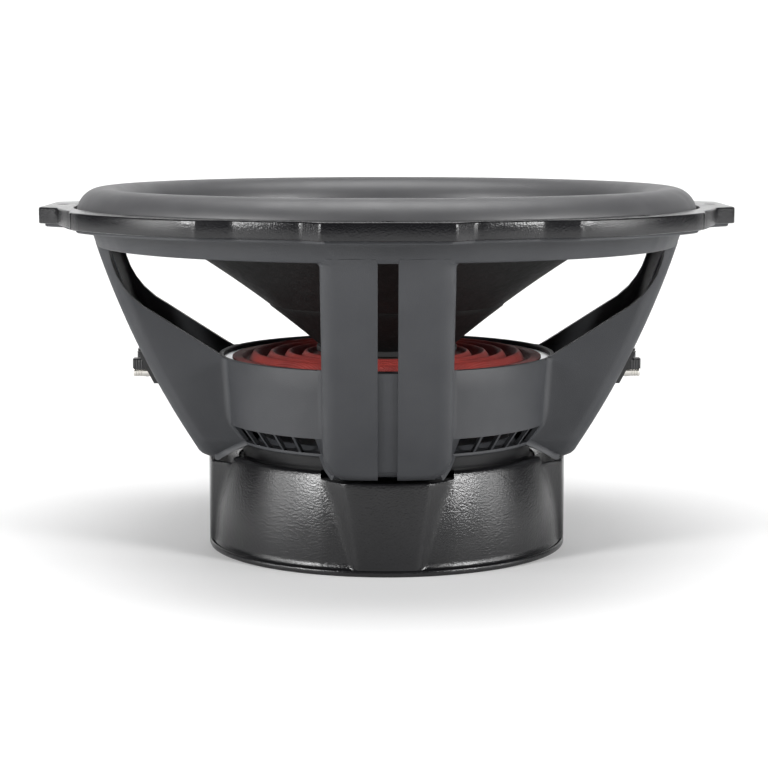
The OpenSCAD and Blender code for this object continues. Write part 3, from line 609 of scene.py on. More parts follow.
def bowl_r(z):
    """Outer radius of the bowl at a height."""
    if z <= VENT_LOW:
        return FLOOR_R
    if z <= VENT_HIGH:
        return FLOOR_R + (BOWL_FOOT_R - FLOOR_R) * (z - VENT_LOW) / (VENT_HIGH - VENT_LOW)
    return BOWL_FOOT_R + (BOWL_R - BOWL_FOOT_R) * (z - VENT_HIGH) / (RIM_Z - VENT_HIGH)


def in_vent(face):
    """Whether a face of the bowl's sloping foot lies where a vent opens."""
    middle = face.calc_center_median() / MM
    turn = degrees(atan2(middle.y, middle.x)) % 90
    level = VENT_LOW < middle.z < VENT_HIGH and middle.xy.length > FLOOR_R - BOWL_WALL
    return level and any(start < turn < end for start, end in VENTS)


bowl = bmesh.new()
turned(bowl, [
    (HOLE_R, FLOOR_Z), (FLOOR_R - 0.5, FLOOR_Z), (FLOOR_R, FLOOR_Z + 0.5), (FLOOR_R, VENT_LOW),
    (BOWL_FOOT_R, VENT_HIGH), (bowl_r(VENT_HIGH + 1), VENT_HIGH + 1), (bowl_r(RIM_Z - 10), RIM_Z - 10),
    (BOWL_R, RIM_Z - 0.9), (BOWL_R - 0.25, RIM_Z - 0.25), (BOWL_R - 0.9, RIM_Z),
    (BOWL_R - BOWL_WALL + 0.6, RIM_Z), (BOWL_R - BOWL_WALL, RIM_Z - 0.6), (BOWL_FOOT_R - BOWL_WALL, VENT_HIGH),
    (FLOOR_R - BOWL_WALL, VENT_LOW), (SCREW_LAND_R + 1.9, VENT_LOW), (SCREW_LAND_R, FLOOR_Z + WALL),
    (HOLE_R, FLOOR_Z + WALL)], steps=360, start=radians(0.5))
bmesh.ops.delete(bowl, geom=[f for f in bowl.faces if in_vent(f)], context="FACES_ONLY")
vent_edges = [e for e in bowl.edges if len(e.link_faces) == 1]
loops = {}
for edge in vent_edges:
    middle = (edge.verts[0].co + edge.verts[1].co) / 2 / MM
    turn = degrees(atan2(middle.y, middle.x))
    quarter, within = divmod(turn % 360, 90)
    vent = min(range(len(VENTS)), key=lambda k: abs(within - sum(VENTS[k]) / 2))
    loops.setdefault((quarter, vent), []).append(edge)
for edges in loops.values():
    bmesh.ops.bridge_loops(bowl, edges=edges)
holes = bmesh.new()
for side in (-1, 1):
    for y in (-LEAD_HOLE_Y, LEAD_HOLE_Y):
        inner, outer = side * (BOWL_R - 12), side * (BOWL_R + 6)
        cylinder_between(holes, (inner, y, LEAD_HOLE_Z), (outer, y, LEAD_HOLE_Z), LEAD_HOLE_R)
bowl = drilled(tidied(bowl), holes)
print("bowl:", len(bowl.faces), "faces,", len(loops), "vents")

# %% Machined landing
# The step that the spider is glued to is cut bright after the casting is coated
SPIDER_Z = (low("spider").z + high("spider").z) / 2
SPIDER_T = 0.8
LANDING_T = 3
LANDING_R = BOWL_R - BOWL_WALL - 8.8
landing_top = SPIDER_Z - SPIDER_T / 2
step = bmesh.new()
turned(step, [(LANDING_R, landing_top - LANDING_T), (BOWL_R - 1.5, landing_top - LANDING_T),
              (BOWL_R - 1.5, landing_top), (LANDING_R + 0.5, landing_top), (LANDING_R, landing_top - 0.5)])
landing = shown(step, "machined_landing", ALUMINIUM, [])
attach(landing, FRAME_BODY)

# %% Spokes: sizes and rows
SPOKE_HALF = 29.0
SPOKE_CORNER = 8.5
SLOT_HALF = 4.4
SLOT_FOOT = RIM_Z + 3.7
GROOVE = 1.6
TOE_ROUND = 8.0
TOE_LEAN = 32.0
TOE_RISE = 30.0
TOE_ROOT = Vector((FLOOR_R - 3, FLOOR_Z))
WINDOW_ROUND = 2.4
TOE_CUT_W, TOE_CUT_H = 7.6, 9.0
toe_centre = (outer_r(TOE_Z + TOE_ROUND) - TOE_ROUND / cos(radians(TOE_LEAN)), TOE_Z + TOE_ROUND)
bend = arc(toe_centre, TOE_ROUND, -90 - TOE_RISE, -TOE_LEAN, 12)
TOE_INNER = Vector(bend[0])
under = [tuple(TOE_ROOT.lerp(TOE_INNER, share)) for share in (0, 0.35, 0.7)]
# Heights of the rows: closer where the vents, the rim, the slot and the window's corners are
levels = [49.5, 51, 52.5, 54, 56, 58, 61.5, 63, 65, 68, 72, 76, 80, 84, 88, 91, RIM_Z, RIM_Z + 0.02, 95,
          SLOT_FOOT, SLOT_FOOT + 0.1, 100, 105, 110, 114.2, 118, 123, 128, 133, 138, 141,
          BAND_Z - WINDOW_ROUND,
          *[BAND_Z - WINDOW_ROUND * (1 - sin(radians(a))) for a in (18, 36, 54, 72)], BAND_Z, BAND_Z + 1.8]
ROWS = ([("under", r, z) for r, z in under] + [("bend", r, z) for r, z in bend]
        + [("wall", outer_r(z), z) for z in levels])
EDGE_FOOT = Vector((BOWL_R + 2.8, RIM_Z + 1.8))
EDGE_KNEE = EDGE_FOOT + Vector((28.4, 19))
EDGE_BOW = -5
EDGE_HEAD = Vector((140, BAND_Z + 10))
window_head = (outer_r(BAND_Z, WALL) - 1, BAND_Z)
edge_line = [EDGE_FOOT] + [Vector(p) for p in bowed(EDGE_KNEE, window_head, EDGE_BOW, 6)] + [EDGE_HEAD]


def inner_r(z):
    """Radius at which a spoke's side wall ends, towards the axis."""
    if z <= TOE_INNER.y:
        return toe_centre[0] - sqrt(max(TOE_ROUND ** 2 - (toe_centre[1] - z) ** 2, 0))
    if z <= FLOOR_Z:
        return TOE_INNER.x - (z - TOE_INNER.y) * (TOE_INNER.x - TOE_ROOT.x) / (FLOOR_Z - TOE_INNER.y)
    if z <= RIM_Z:
        return bowl_r(z) - 1
    if z <= EDGE_FOOT.y:
        return BOWL_R + (EDGE_FOOT.x - BOWL_R) * (z - RIM_Z) / (EDGE_FOOT.y - RIM_Z)
    for a, b in zip(edge_line, edge_line[1:]):
        if z <= b.y:
            return a.x + (b.x - a.x) * (z - a.y) / (b.y - a.y)
    return edge_line[-1].x


def half_width(z):
    """Half the spoke's width: its toe's corners are cut off, and it flares into the band."""
    if z < TOE_Z + TOE_CUT_H:
        share = 1 - (z - TOE_Z) / TOE_CUT_H
        return SPOKE_HALF - TOE_CUT_W * (0.55 * share + 0.45 * share ** 4)
    if z > BAND_Z - WINDOW_ROUND:
        rise = min(z - (BAND_Z - WINDOW_ROUND), WINDOW_ROUND)
        return SPOKE_HALF + WINDOW_ROUND - sqrt(WINDOW_ROUND ** 2 - rise ** 2)
    return SPOKE_HALF


# %% Spokes: the sheet and its wall
FILLET_STEPS = 6
SIDE_STEPS = 6
CORNER_STEPS = 8
FACE_STEPS = 5
LIP = 0.7
UNDER_GAP = 0.15


def on_circle(r, y):
    """Distance along X of the point at radius r whose distance across is y."""
    return sqrt(max(r * r - y * y, 0))


def half_section(kind, r, z):
    """Half of the spoke's outline at a row, from the end of its side wall to its middle."""
    half = half_width(z)
    if kind == "under" or (kind == "bend" and r < toe_centre[0]):
        half -= UNDER_GAP
    corner = min(SPOKE_CORNER, half)
    start_x = on_circle(inner_r(z), half)
    face_x = on_circle(r, half - corner)
    corner_x = max(face_x - corner * 0.96, start_x)
    points = []
    if kind == "wall" and FLOOR_Z + 1 < z <= RIM_Z:
        radius = 2.0 if z < VENT_HIGH + 1 else min(2.0 + (z - VENT_HIGH - 1) * 0.7, 4.5)
        centre = Vector((sqrt((bowl_r(z) + radius) ** 2 - (half + radius) ** 2), half + radius))
        end = degrees(atan2(-centre.y, -centre.x))
        turn = arc(centre, radius, end, -90, FILLET_STEPS)
        inside = Vector(turn[0]) * (1 - 1.2 / Vector(turn[0]).length)
        points = [tuple(inside)] + turn
        run_start = centre.x
    else:
        points = [(start_x, half)] * (FILLET_STEPS + 2)
        run_start = start_x
    for i in range(1, SIDE_STEPS):
        points.append((run_start + (corner_x - run_start) * i / SIDE_STEPS, half))
    for i in range(CORNER_STEPS + 1):
        a = radians(90 - 90 * i / CORNER_STEPS)
        y = half - corner + corner * sin(a)
        x = corner_x + (face_x - corner_x) * cos(a)
        points.append((max(x, on_circle(inner_r(z), y)), y))
    lip_y = SLOT_HALF + LIP
    for i in range(1, FACE_STEPS + 1):
        y = half - corner + (lip_y - half + corner) * i / FACE_STEPS
        points.append((on_circle(r, y), y))
    points.append((on_circle(r, lip_y - LIP * 0.6) - LIP * 0.12, lip_y - LIP * 0.6))
    points.append((on_circle(r, SLOT_HALF) - LIP * 0.7, SLOT_HALF))
    return points


def section(row):
    """The whole outline at a row as (x, y, z), with the groove's floor in the middle."""
    kind, r, z = ROWS[row]
    half = half_section(kind, r, z)
    floor_x, floor_z = half[-1][0], z
    if kind == "wall" and z <= SLOT_FOOT:
        floor_x = on_circle(r, SLOT_HALF) - GROOVE
    elif kind == "bend":
        share = GROOVE / TOE_ROUND
        floor_x = half[-1][0] + (toe_centre[0] - r) * share
        floor_z = z + (toe_centre[1] - z) * share
    full = [(x, y, z) for x, y in half] + [(floor_x, SLOT_HALF, floor_z)]
    return full + [(x, -y, h) for x, y, h in reversed(full)]


SECTIONS = [section(row) for row in range(len(ROWS))]
COLUMNS = len(SECTIONS[0]) - 1
MIDDLE = COLUMNS // 2
slot_row = next(j for j, row in enumerate(ROWS) if row[0] == "wall" and row[2] == SLOT_FOOT)
slot_end = next(j for j, row in enumerate(ROWS) if row[0] == "wall" and row[2] == BAND_Z)
spoke = bmesh.new()
gridded(spoke, COLUMNS, len(ROWS) - 1, lambda i, j: SECTIONS[j][i],
        hole=lambda i, j: i == MIDDLE and slot_row <= j < slot_end)
tidied(spoke)
outermost = max(spoke.faces, key=lambda f: f.calc_center_median().x)
if outermost.normal.x < 0:
    bmesh.ops.reverse_faces(spoke, faces=spoke.faces)
spoke_sheet = as_object(spoke, "spoke")
thicken = spoke_sheet.modifiers.new("wall", "SOLIDIFY")
thicken.thickness, thicken.offset = WALL * MM, -1
bpy.context.view_layer.update()
spoke = settled(spoke_sheet)
spoke_mesh = bpy.data.meshes.new("spoke")
spoke.to_mesh(spoke_mesh)
spoke.free()
for turn in range(4):
    spoke_mesh.transform(Matrix.Rotation(pi / 2, 4, "Z"))
    casting.from_mesh(spoke_mesh)
print("one spoke:", len(spoke_mesh.polygons), "faces")

# %% Join the casting
into(casting, bowl)
basket = shown(casting, "basket_casting", GREY_COAT, ["basket"])
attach(basket, FRAME_BODY)

# %% [markdown]
# ## Surround, spider and cone
# These are turned parts. The surround is a half-round roll of rubber with a foot on each side,
# the spider a disc of corrugated cloth, and the cone a shell of pressed pulp. The bend of the
# surround and the spider has to run along the radius, so for a moment every point of theirs is set
# on the X axis at its own radius while the object's transform is baked, and is then put back.

# %% Points set on the radius
def stretch_radially(made):
    """Sets every point on the X axis at its own radius, bakes the object's transform, then puts the points
    back.
    """
    rest = [v.co.copy() for v in made.data.vertices]
    for v in made.data.vertices:
        v.co = (v.co.xy.length, 0, v.co.z)
    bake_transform(made)
    for v, place in zip(made.data.vertices, rest):
        v.co = place


# %% Surround
SURROUND_T = 1.5
ROLL_Z = GLUE_Z + 2
CONE_RIM_Z = GLUE_Z + 0.6
CONE_FOOT_W = 5.5
inner_foot = CONE_RIM_Z + 0.1
glue_r = TRIM_IN_R + 3.2
roll = bmesh.new()
turned(roll, [
    (ROLL_IN_R - CONE_FOOT_W, inner_foot), (ROLL_IN_R + SURROUND_T - 0.4, inner_foot),
    (ROLL_IN_R + SURROUND_T, inner_foot + 0.4),
    *arc((ROLL_MID_R, ROLL_Z), ROLL_R - SURROUND_T, 180, 0, 32),
    (ROLL_OUT_R - SURROUND_T, GLUE_Z), (glue_r, GLUE_Z), (glue_r, GLUE_Z + SURROUND_T),
    (ROLL_OUT_R + 0.5, GLUE_Z + SURROUND_T), (ROLL_OUT_R + 0.1, GLUE_Z + SURROUND_T + 0.1),
    *arc((ROLL_MID_R, ROLL_Z), ROLL_R, 2, 176, 40),
    (ROLL_IN_R - 0.6, inner_foot + SURROUND_T + 0.12), (ROLL_IN_R - 1.6, inner_foot + SURROUND_T),
    (ROLL_IN_R - CONE_FOOT_W + 0.3, inner_foot + SURROUND_T), (ROLL_IN_R - CONE_FOOT_W, inner_foot + 1.1)],
    steps=240)
surround = shown(roll, "surround_roll", SURROUND_RUBBER, ["surround"], sharp=50)
stretch_radially(surround)

# %% Spider
SPIDER_ROLLS = 4
wave = (high("spider").z - low("spider").z - SPIDER_T) / 2
wave_in, wave_out = FORMER_R + 5, LANDING_R - 0.5
spider_line = [(FORMER_R + 0.1, SPIDER_Z), (FORMER_R + 3, SPIDER_Z)]
WAVE_STEPS = 12 * SPIDER_ROLLS
for i in range(WAVE_STEPS + 1):
    turn = 2 * pi * SPIDER_ROLLS * i / WAVE_STEPS
    spider_line.append((wave_in + (wave_out - wave_in) * i / WAVE_STEPS, SPIDER_Z + wave * sin(turn)))
spider_line += [(wave_out + 2, SPIDER_Z), (high("spider").x, SPIDER_Z)]
cloth = bmesh.new()
turned(cloth, [(r, z - SPIDER_T / 2) for r, z in spider_line]
       + [(r, z + SPIDER_T / 2) for r, z in reversed(spider_line)], steps=240)
spider = shown(cloth, "spider_rolls", SPIDER_CLOTH, ["spider"], sharp=60)
stretch_radially(spider)

# %% Cone and dust cap
CONE_T = 1.6
NECK_Z = low("cone").z
CONE_BOW, CONE_STEPS = 2.6, 24
cone_foot = (FORMER_R + 0.1, NECK_Z)
cone_head = (ROLL_IN_R - CONE_FOOT_W + 1, CONE_RIM_Z - CONE_T)
underside = bowed(cone_foot, cone_head, CONE_BOW, CONE_STEPS)
upper = bowed(cone_foot, cone_head, CONE_BOW, CONE_STEPS, CONE_T)
pulp = bmesh.new()
turned(pulp, underside + [(ROLL_IN_R - 0.3, cone_head[1]), (ROLL_IN_R, cone_head[1] + 0.3),
       (ROLL_IN_R, CONE_RIM_Z - 0.3), (ROLL_IN_R - 0.3, CONE_RIM_Z), (upper[-1][0], CONE_RIM_Z)]
       + upper[-2:0:-1] + [(cone_foot[0], upper[0][1])], steps=240)
# A joint line runs round the underside where the neck's doubler ends
DOUBLER_R = 57.8
doubler = [p for p in underside if p[0] < DOUBLER_R]
turned(pulp, [(r + 0.1, z - 0.45) for r, z in doubler] + [(doubler[-1][0] + 0.5, doubler[-1][1] + 0.5)]
       + [(r, z + 0.3) for r, z in reversed(doubler)], steps=240)
cone = shown(pulp, "cone_shell", CONE_PAPER, ["cone"])
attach(cone, CONE_BODY)

cap_r = high("dust_cap").x
cap_foot, cap_top = low("dust_cap").z, high("dust_cap").z
cap_rise = cap_top - cap_foot
dome_r = (cap_r ** 2 + cap_rise ** 2) / (2 * cap_rise)
dome_half = degrees(asin(cap_r / dome_r))
dome_centre = (0, cap_top - dome_r)
dome = bmesh.new()
turned(dome, arc(dome_centre, dome_r, 90, 90 - dome_half, 24)
       + arc(dome_centre, dome_r - 1, 90 - dome_half + 0.4, 90, 24), steps=180)
dust_cap = shown(dome, "dust_cap_dome", CAP_PAPER, ["dust_cap"])
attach(dust_cap, CONE_BODY)

# %% [markdown]
# ## Windings
# A voice coil is wire wound on the former in close turns, so its outside is a fine ribbed sleeve.
# One outline with a bump for each turn is spun round the axis.

# %% Windings
def winding(name, node):
    inner = FORMER_R if node == "winding_inner" else high("winding_inner").x
    outer, foot, top = high(node).x, low(node).z, high(node).z
    turns = round((top - foot) / (outer - inner))
    pitch = (top - foot) / turns
    ribs = [(outer - 0.35 * pitch * (1 - sin(pi * s / 4)), foot + pitch * (t + s / 4))
            for t in range(turns) for s in range(4)]
    sleeve = bmesh.new()
    turned(sleeve, [(inner, foot)] + ribs + [(outer - 0.35 * pitch, top), (inner, top)], steps=96)
    made = shown(sleeve, name, COPPER_WIRE, [node], sharp=80)
    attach(made, CONE_BODY)


winding("inner_turns", "winding_inner")
winding("outer_turns", "winding_outer")

# %% [markdown]
# ## The rubber boot
# The boot is stretched over the magnets. Round its foot runs a lip, four pillars stand under the
# spokes, and soft panels lean in between them. Its rows are outlines at rising heights. Under
# the spokes the top is cut down, so the columns there stop at a lower height than the others.

# %% Boot outline
PANEL_FOOT_R = BOOT_R - 2.4
PANEL_TOP_R = PANEL_FOOT_R - 5.5
LIP_H = 3.0
PILLAR_TOP = TOE_Z - 1.5
CUT_HALF = SPOKE_HALF + 1.5
PILLAR_SLOPE = 0.72
PILLAR_FOOT_HALF, PILLAR_TOP_HALF = 13.2, 20.2
BOOT_FLOOR_T = 2.5
BOOT_BORE_R = MAGNET_R + 0.1
BOOT_HOLE_R = PLATE_R - 10
PANEL_BOW = 1.4


def panel_r(z):
    """Radius of a panel at a height: it leans in and bows out a little."""
    t = min(max((z - LIP_H) / (BOOT_TOP - LIP_H), 0), 1)
    return PANEL_FOOT_R + (PANEL_TOP_R - PANEL_FOOT_R) * t + 4 * PANEL_BOW * t * (1 - t)


def pillar_half(z):
    """Half the width of a pillar's face at a height."""
    return PILLAR_FOOT_HALF + (PILLAR_TOP_HALF - PILLAR_FOOT_HALF) * min(z / (PILLAR_TOP - 1), 1)


def boot_octant(z, panel, shrink=0.0):
    """Points from the middle of a pillar to the middle of a panel, at one height."""
    half = pillar_half(z)
    crest = BOOT_R - shrink
    turn = degrees(asin(half / crest))
    shoulder = polar(crest, turn)
    # Where the sloping side meets the panel: |p| = panel on the line y = half + slope (crest - x)
    a = 1 + PILLAR_SLOPE ** 2
    b = -2 * PILLAR_SLOPE * (half + PILLAR_SLOPE * crest)
    c = (half + PILLAR_SLOPE * crest) ** 2 - panel ** 2
    x = (-b + sqrt(max(b * b - 4 * a * c, 0))) / (2 * a)
    foot = Vector((x, half + PILLAR_SLOPE * (crest - x)))
    run = (foot - shoulder).length
    cut_turn = degrees(asin(CUT_HALF / panel))
    foot_turn = degrees(atan2(foot.y, foot.x))
    points = [polar(crest, turn * i / 6 * 0.9) for i in range(6)]
    points += softened(polar(crest, turn * 0.8), shoulder, foot, min(2.2, run * 0.45))
    points += softened(shoulder, foot, polar(panel, foot_turn + 3), min(3.0, run * 0.45))
    edge_turn = degrees(atan2(points[-1].y, points[-1].x))
    points += [polar(panel, edge_turn + (cut_turn - edge_turn) * share) for share in (0.5, 0.985, 1)]
    points += [polar(panel, cut_turn + (45 - cut_turn) * i / 8) for i in range(9)]
    return points


# Columns before the cut: the pillar's face, its two softened corners and three on the panel
STEP_INDEX = 6 + 6 + 6 + 3
COLUMN_Z = 20
octant_turns = [atan2(p.y, p.x) for p in boot_octant(COLUMN_Z, panel_r(COLUMN_Z))]


def boot_row(z, points):
    """One whole row: the octant's points, mirrored and turned; those under a spoke stay below the cut."""
    octant = []
    for k, p in enumerate(points):
        under_spoke = k < STEP_INDEX
        height = min(z, PILLAR_TOP) if under_spoke else z
        octant.append((p.x, p.y, height))
    mirrored = [(y, x, h) for x, y, h in reversed(octant[:-1])]
    quarter = octant + mirrored[:-1]
    row = []
    for turn in range(4):
        c, s = round(cos(turn * pi / 2)), round(sin(turn * pi / 2))
        row += [(c * x - s * y, s * x + c * y, h) for x, y, h in quarter]
    return row


def round_octant(r):
    """The same columns on a circle; the column at the cut keeps its place across."""
    cut_turn = asin(CUT_HALF / r)
    cut_ref = octant_turns[STEP_INDEX]
    turns = [t * cut_turn / cut_ref if t <= cut_ref else
             cut_turn + (t - cut_ref) * (pi / 4 - cut_turn) / (pi / 4 - cut_ref) for t in octant_turns]
    return [Vector((r * cos(t), r * sin(t))) for t in turns]


# %% Boot
boot_rows = [boot_row(0, round_octant(BOOT_HOLE_R)), boot_row(0, round_octant(BOOT_R - 1.0)),
             boot_row(0.25, round_octant(BOOT_R - 0.3)), boot_row(0.9, round_octant(BOOT_R)),
             boot_row(2.2, round_octant(BOOT_R)), boot_row(2.75, round_octant(BOOT_R - 0.25)),
             boot_row(LIP_H, round_octant(BOOT_R - 0.7)),
             boot_row(LIP_H, boot_octant(LIP_H, PANEL_FOOT_R + 0.8, 0.3)),
             boot_row(LIP_H + 0.8, boot_octant(LIP_H, PANEL_FOOT_R + 0.1))]
for z in (6, 9, 13, 17, 21, 25, 29, 33, 37, 40, PILLAR_TOP - 1.0):
    boot_rows.append(boot_row(z, boot_octant(z, panel_r(z))))
for drop in (0.1, 0.3, 0.6, 1.1):
    z = PILLAR_TOP - 1.0 + sqrt(1 - (1 - drop / 1.1) ** 2)
    boot_rows.append(boot_row(z, boot_octant(z, panel_r(z), drop)))
for z, inset in ((BOOT_TOP - 1.3, 0), (BOOT_TOP - 0.4, 0.35), (BOOT_TOP, 1.3)):
    boot_rows.append(boot_row(z, boot_octant(z, panel_r(z) - inset, 1.1 + inset)))
boot_rows += [boot_row(BOOT_TOP, round_octant(BOOT_BORE_R)), boot_row(BOOT_FLOOR_T, round_octant(BOOT_BORE_R)),
              boot_row(BOOT_FLOOR_T, round_octant(BOOT_HOLE_R))]
rubber = bmesh.new()
banded(rubber, boot_rows)
boot = shown(rubber, "boot_shell", BOOT_RUBBER, ["magnet_boot"], sharp=40)
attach(boot, FRAME_BODY)

# %% [markdown]
# ## Push terminals
# Two sprung terminals stand out of the spoke at each side. A nickel barrel takes the wire, and a
# ribbed black cap above it is pressed down to let the wire in. The barrel is turned about its own
# axis, the cap is a folded sheet with a wall, and the spring is a small circle spun with a rise.

# %% Barrels and caps
def lathe_x(bm, outline, y, z, steps=48):
    """Spins a closed outline of (distance along X, radius) round a line along X at y and z."""
    verts = [bm.verts.new(Vector((x, y, z + r)) * MM) for x, r in outline]
    edges = [bm.edges.new(pair) for pair in zip(verts, verts[1:] + verts[:1])]
    bmesh.ops.spin(bm, geom=verts + edges, cent=Vector((0, y, z)) * MM, axis=(1, 0, 0), angle=2 * pi,
                   steps=steps, use_merge=True)


WIRE_HOLE_R = 1.8


def barrel(name, node, y):
    x0, x1 = low("barrel_right_front").x, high("barrel_right_front").x
    r = (high(node).z - low(node).z) / 2
    z = (high(node).z + low(node).z) / 2
    outline = [(x0, 0.0), (x0, r - 0.3), (x0 + 0.3, r), (x1 - 4.6, r)]
    for groove in range(3):
        x = x1 - 4.4 + groove * 1.2
        outline += [(x, r), (x + 0.15, r - 0.3), (x + 0.45, r - 0.3), (x + 0.6, r)]
    outline += [(x1 - 0.5, r), (x1 - 0.12, r - 0.15), (x1, r - 0.5), (x1, WIRE_HOLE_R + 0.3),
                (x1 - 0.4, WIRE_HOLE_R), (x1 - 7.5, WIRE_HOLE_R), (x1 - 8.0, 0.0)]
    metal = bmesh.new()
    lathe_x(metal, outline, y, z)
    return shown_turned(metal, name, NICKEL, node)


def shown_turned(bm, name, material, node):
    """The pieces are drawn at the right-hand spoke; those of the left are turned half round."""
    if "_left_" in node:
        bmesh.ops.rotate(bm, cent=(0, 0, 0), matrix=Matrix.Rotation(pi, 3, "Z"), verts=bm.verts)
    return shown(bm, name, material, [node])


CAP_TRAVEL = 1.5


def push_cap(name, node, y):
    x0, x1 = low("push_cap_right_front").x, high("push_cap_right_front").x
    z0, z1 = low(node).z, high(node).z
    half, wall, round_r = 3.95, 0.7, 1.2
    path = [(half, z0), (half, (z0 + z1) / 2)] + arc((half - round_r, z1 - round_r), round_r, 0, 90, 5)
    path += [(-a, b) for a, b in reversed(path)]
    rib_zone, rib_pitch = 5.2, 0.3
    xs = [x0, x0 + 0.6]
    while xs[-1] < x1 - 0.31:
        xs.append(xs[-1] + rib_pitch)
    xs[-1] = x1 - 0.3
    rib_swell = 0.045
    stations = [(x, 1.0 + rib_swell * (x >= x1 - rib_zone and k % 4 in (0, 1))) for k, x in enumerate(xs)]
    stations += [(x1 - 0.1, 0.99), (x1, 0.97)]
    mid_z = (z0 + z1) / 2
    sheet = bmesh.new()
    gridded(sheet, len(path) - 1, len(stations) - 1, lambda i, j: (
        stations[j][0], y + path[i][0] * stations[j][1] * 0.96,
        min(mid_z + (path[i][1] - mid_z) * (stations[j][1] if path[i][1] > mid_z else 1), z1)))
    # The outer end is closed down to the barrel's crown
    end = [v for v in sheet.verts if abs(v.co.x - x1 * MM) < 1e-7]
    end_edges = [e for e in sheet.edges if all(v in end for v in e.verts)]
    grown = bmesh.ops.extrude_edge_only(sheet, edges=end_edges)["geom"]
    crown = high("barrel_right_front").z + CAP_TRAVEL + 0.3
    for v in (g for g in grown if isinstance(g, bmesh.types.BMVert)):
        if v.co.z > (crown + 0.5) * MM:
            v.co.y = y * MM + (v.co.y - y * MM) * 0.72
            v.co.z = crown * MM
        else:
            v.co.y = y * MM + (v.co.y - y * MM) * 0.95
    tidied(sheet)
    top = max(sheet.faces, key=lambda f: f.calc_center_median().z)
    if top.normal.z < 0:
        bmesh.ops.reverse_faces(sheet, faces=sheet.faces)
    folded = as_object(sheet, "cap")
    thicken = folded.modifiers.new("wall", "SOLIDIFY")
    thicken.thickness, thicken.offset = wall * MM, -1
    bpy.context.view_layer.update()
    return shown_turned(settled(folded), name, CAP_BLACK, node)


def cap_spring(name, node, y):
    foot, top = low(node).z + 0.22, high(node).z - 0.22
    x = (low("cap_spring_right_front").x + high("cap_spring_right_front").x) / 2
    coil_r, wire_r, turns, steps = 1.5, 0.22, 2.5, 60
    coil = bmesh.new()
    place = Matrix.Translation(Vector((x + coil_r, y, foot)) * MM) @ Matrix.Rotation(pi / 2, 4, "X")
    bmesh.ops.create_circle(coil, cap_ends=True, segments=10, radius=wire_r * MM, matrix=place)
    geom = list(coil.verts) + list(coil.edges) + list(coil.faces)
    bmesh.ops.spin(coil, geom=geom, cent=Vector((x, y, foot)) * MM, axis=(0, 0, 1),
                   dvec=(0, 0, (top - foot) / steps * MM), angle=2 * pi * turns, steps=steps)
    return shown_turned(coil, name, BRIGHT_STEEL, node)


PITCH_HALF = (high("barrel_right_rear").y + low("barrel_right_rear").y) / 2
for side in ("left", "right"):
    for end in ("front", "rear"):
        key = f"{side}_{end}"
        y = PITCH_HALF if (side == "right") == (end == "rear") else -PITCH_HALF
        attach(barrel(f"wire_barrel_{key}", f"barrel_{key}", y), FRAME_BODY)
        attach(push_cap(f"button_cap_{key}", f"push_cap_{key}", y), f"button_{key}")
        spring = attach(cap_spring(f"button_spring_{key}", f"cap_spring_{key}", y), FRAME_BODY)
        # The spring stands on the barrel; its foot and height are read, and it gets a mesh of its own
        foot = low(f"cap_spring_{key}")
        tall = high(f"cap_spring_{key}").z - foot.z
        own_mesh(spring)

# %% [markdown]
# ## Tinsel leads
# Four flexible leads of twisted copper carry the current under the spider to the coil. Each is a
# tube whose outline has three strands, turned as it goes, from its solder lug to the coil.

# %% Tinsel leads
LEAD_SAG = 6.0
LEAD_STEPS, LEAD_SIDES = 72, 12
LEAD_END_Y = 6.0
STRAND_TURNS = 7


def lead_point(t, y):
    """A point on the lead's middle line, at a share t of the way from the lug to the coil."""
    start = Vector((low("solder_lug_right_front").x + 2, y, high("solder_lug_right_front").z + 1.1))
    reach = FORMER_R + 1.1
    end_y = LEAD_END_Y if y > 0 else -LEAD_END_Y
    end = Vector((on_circle(reach, end_y), end_y, SPIDER_Z - 5.5))
    return start.lerp(end, t) - Vector((0, 0, LEAD_SAG * sin(pi * t) ** 2))


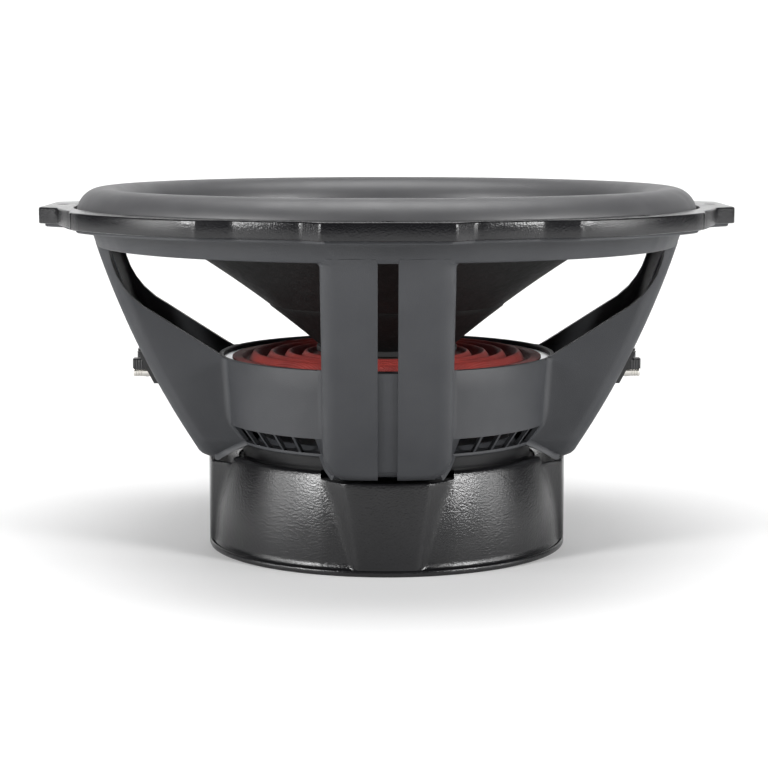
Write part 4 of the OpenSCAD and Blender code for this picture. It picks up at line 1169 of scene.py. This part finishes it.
def lead_place(i, j, y):
    """A point on the surface of the twisted lead."""
    t = j / LEAD_STEPS
    ahead = lead_point(min(t + 0.01, 1), y) - lead_point(max(t - 0.01, 0), y)
    side = ahead.cross(Vector((0, 0, 1))).normalized()
    up = side.cross(ahead).normalized()
    turn = 2 * pi * i / LEAD_SIDES
    strand = 0.86 + 0.12 * cos(3 * turn + 2 * pi * STRAND_TURNS * t)
    return lead_point(t, y) + (side * cos(turn) + up * sin(turn)) * strand


for side in ("left", "right"):
    for end in ("front", "rear"):
        node = f"tinsel_lead_{side}_{end}"
        y = PITCH_HALF if (side == "right") == (end == "rear") else -PITCH_HALF
        strand_tube = bmesh.new()
        gridded(strand_tube, LEAD_SIDES, LEAD_STEPS, lambda i, j: lead_place(i, j, y))
        tidied(strand_tube)
        bmesh.ops.holes_fill(strand_tube, edges=[e for e in strand_tube.edges if e.is_boundary], sides=0)
        lead = shown_turned(strand_tube, f"twisted_lead_{side}_{end}", TINSEL_COPPER, node)
        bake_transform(lead)

# %% [markdown]
# ## Finishes for the engineering parts
# The inner parts of the motor and the small fittings keep their engineering meshes, which already
# have the right shape. Each gets its real finish.

# %% Finishes for the engineering parts
PLAIN_PARTS = {
    "coil_former": FORMER_FILM, "former_collar": COLLAR_PAPER, "top_plate": MOTOR_STEEL,
    "magnet_upper": FERRITE, "magnet_lower": FERRITE, "back_plate": MOTOR_STEEL,
    "shorting_ring": ALUMINIUM, "vent_screen": SCREEN_STEEL, "basket_screws": SCREW_STEEL,
    "terminal_base_left": TERMINAL_BLACK, "terminal_base_right": TERMINAL_BLACK,
    "terminal_rivets_left": BRIGHT_STEEL, "terminal_rivets_right": BRIGHT_STEEL,
    "solder_lug_left_front": TINNED_BRASS, "solder_lug_left_rear": TINNED_BRASS,
    "solder_lug_right_front": TINNED_BRASS, "solder_lug_right_rear": TINNED_BRASS,
}
for node, material in PLAIN_PARTS.items():
    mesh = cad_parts[node].data
    mesh.materials.clear()
    mesh.materials.append(material)
print(len(PLAIN_PARTS), "engineering parts refinished")
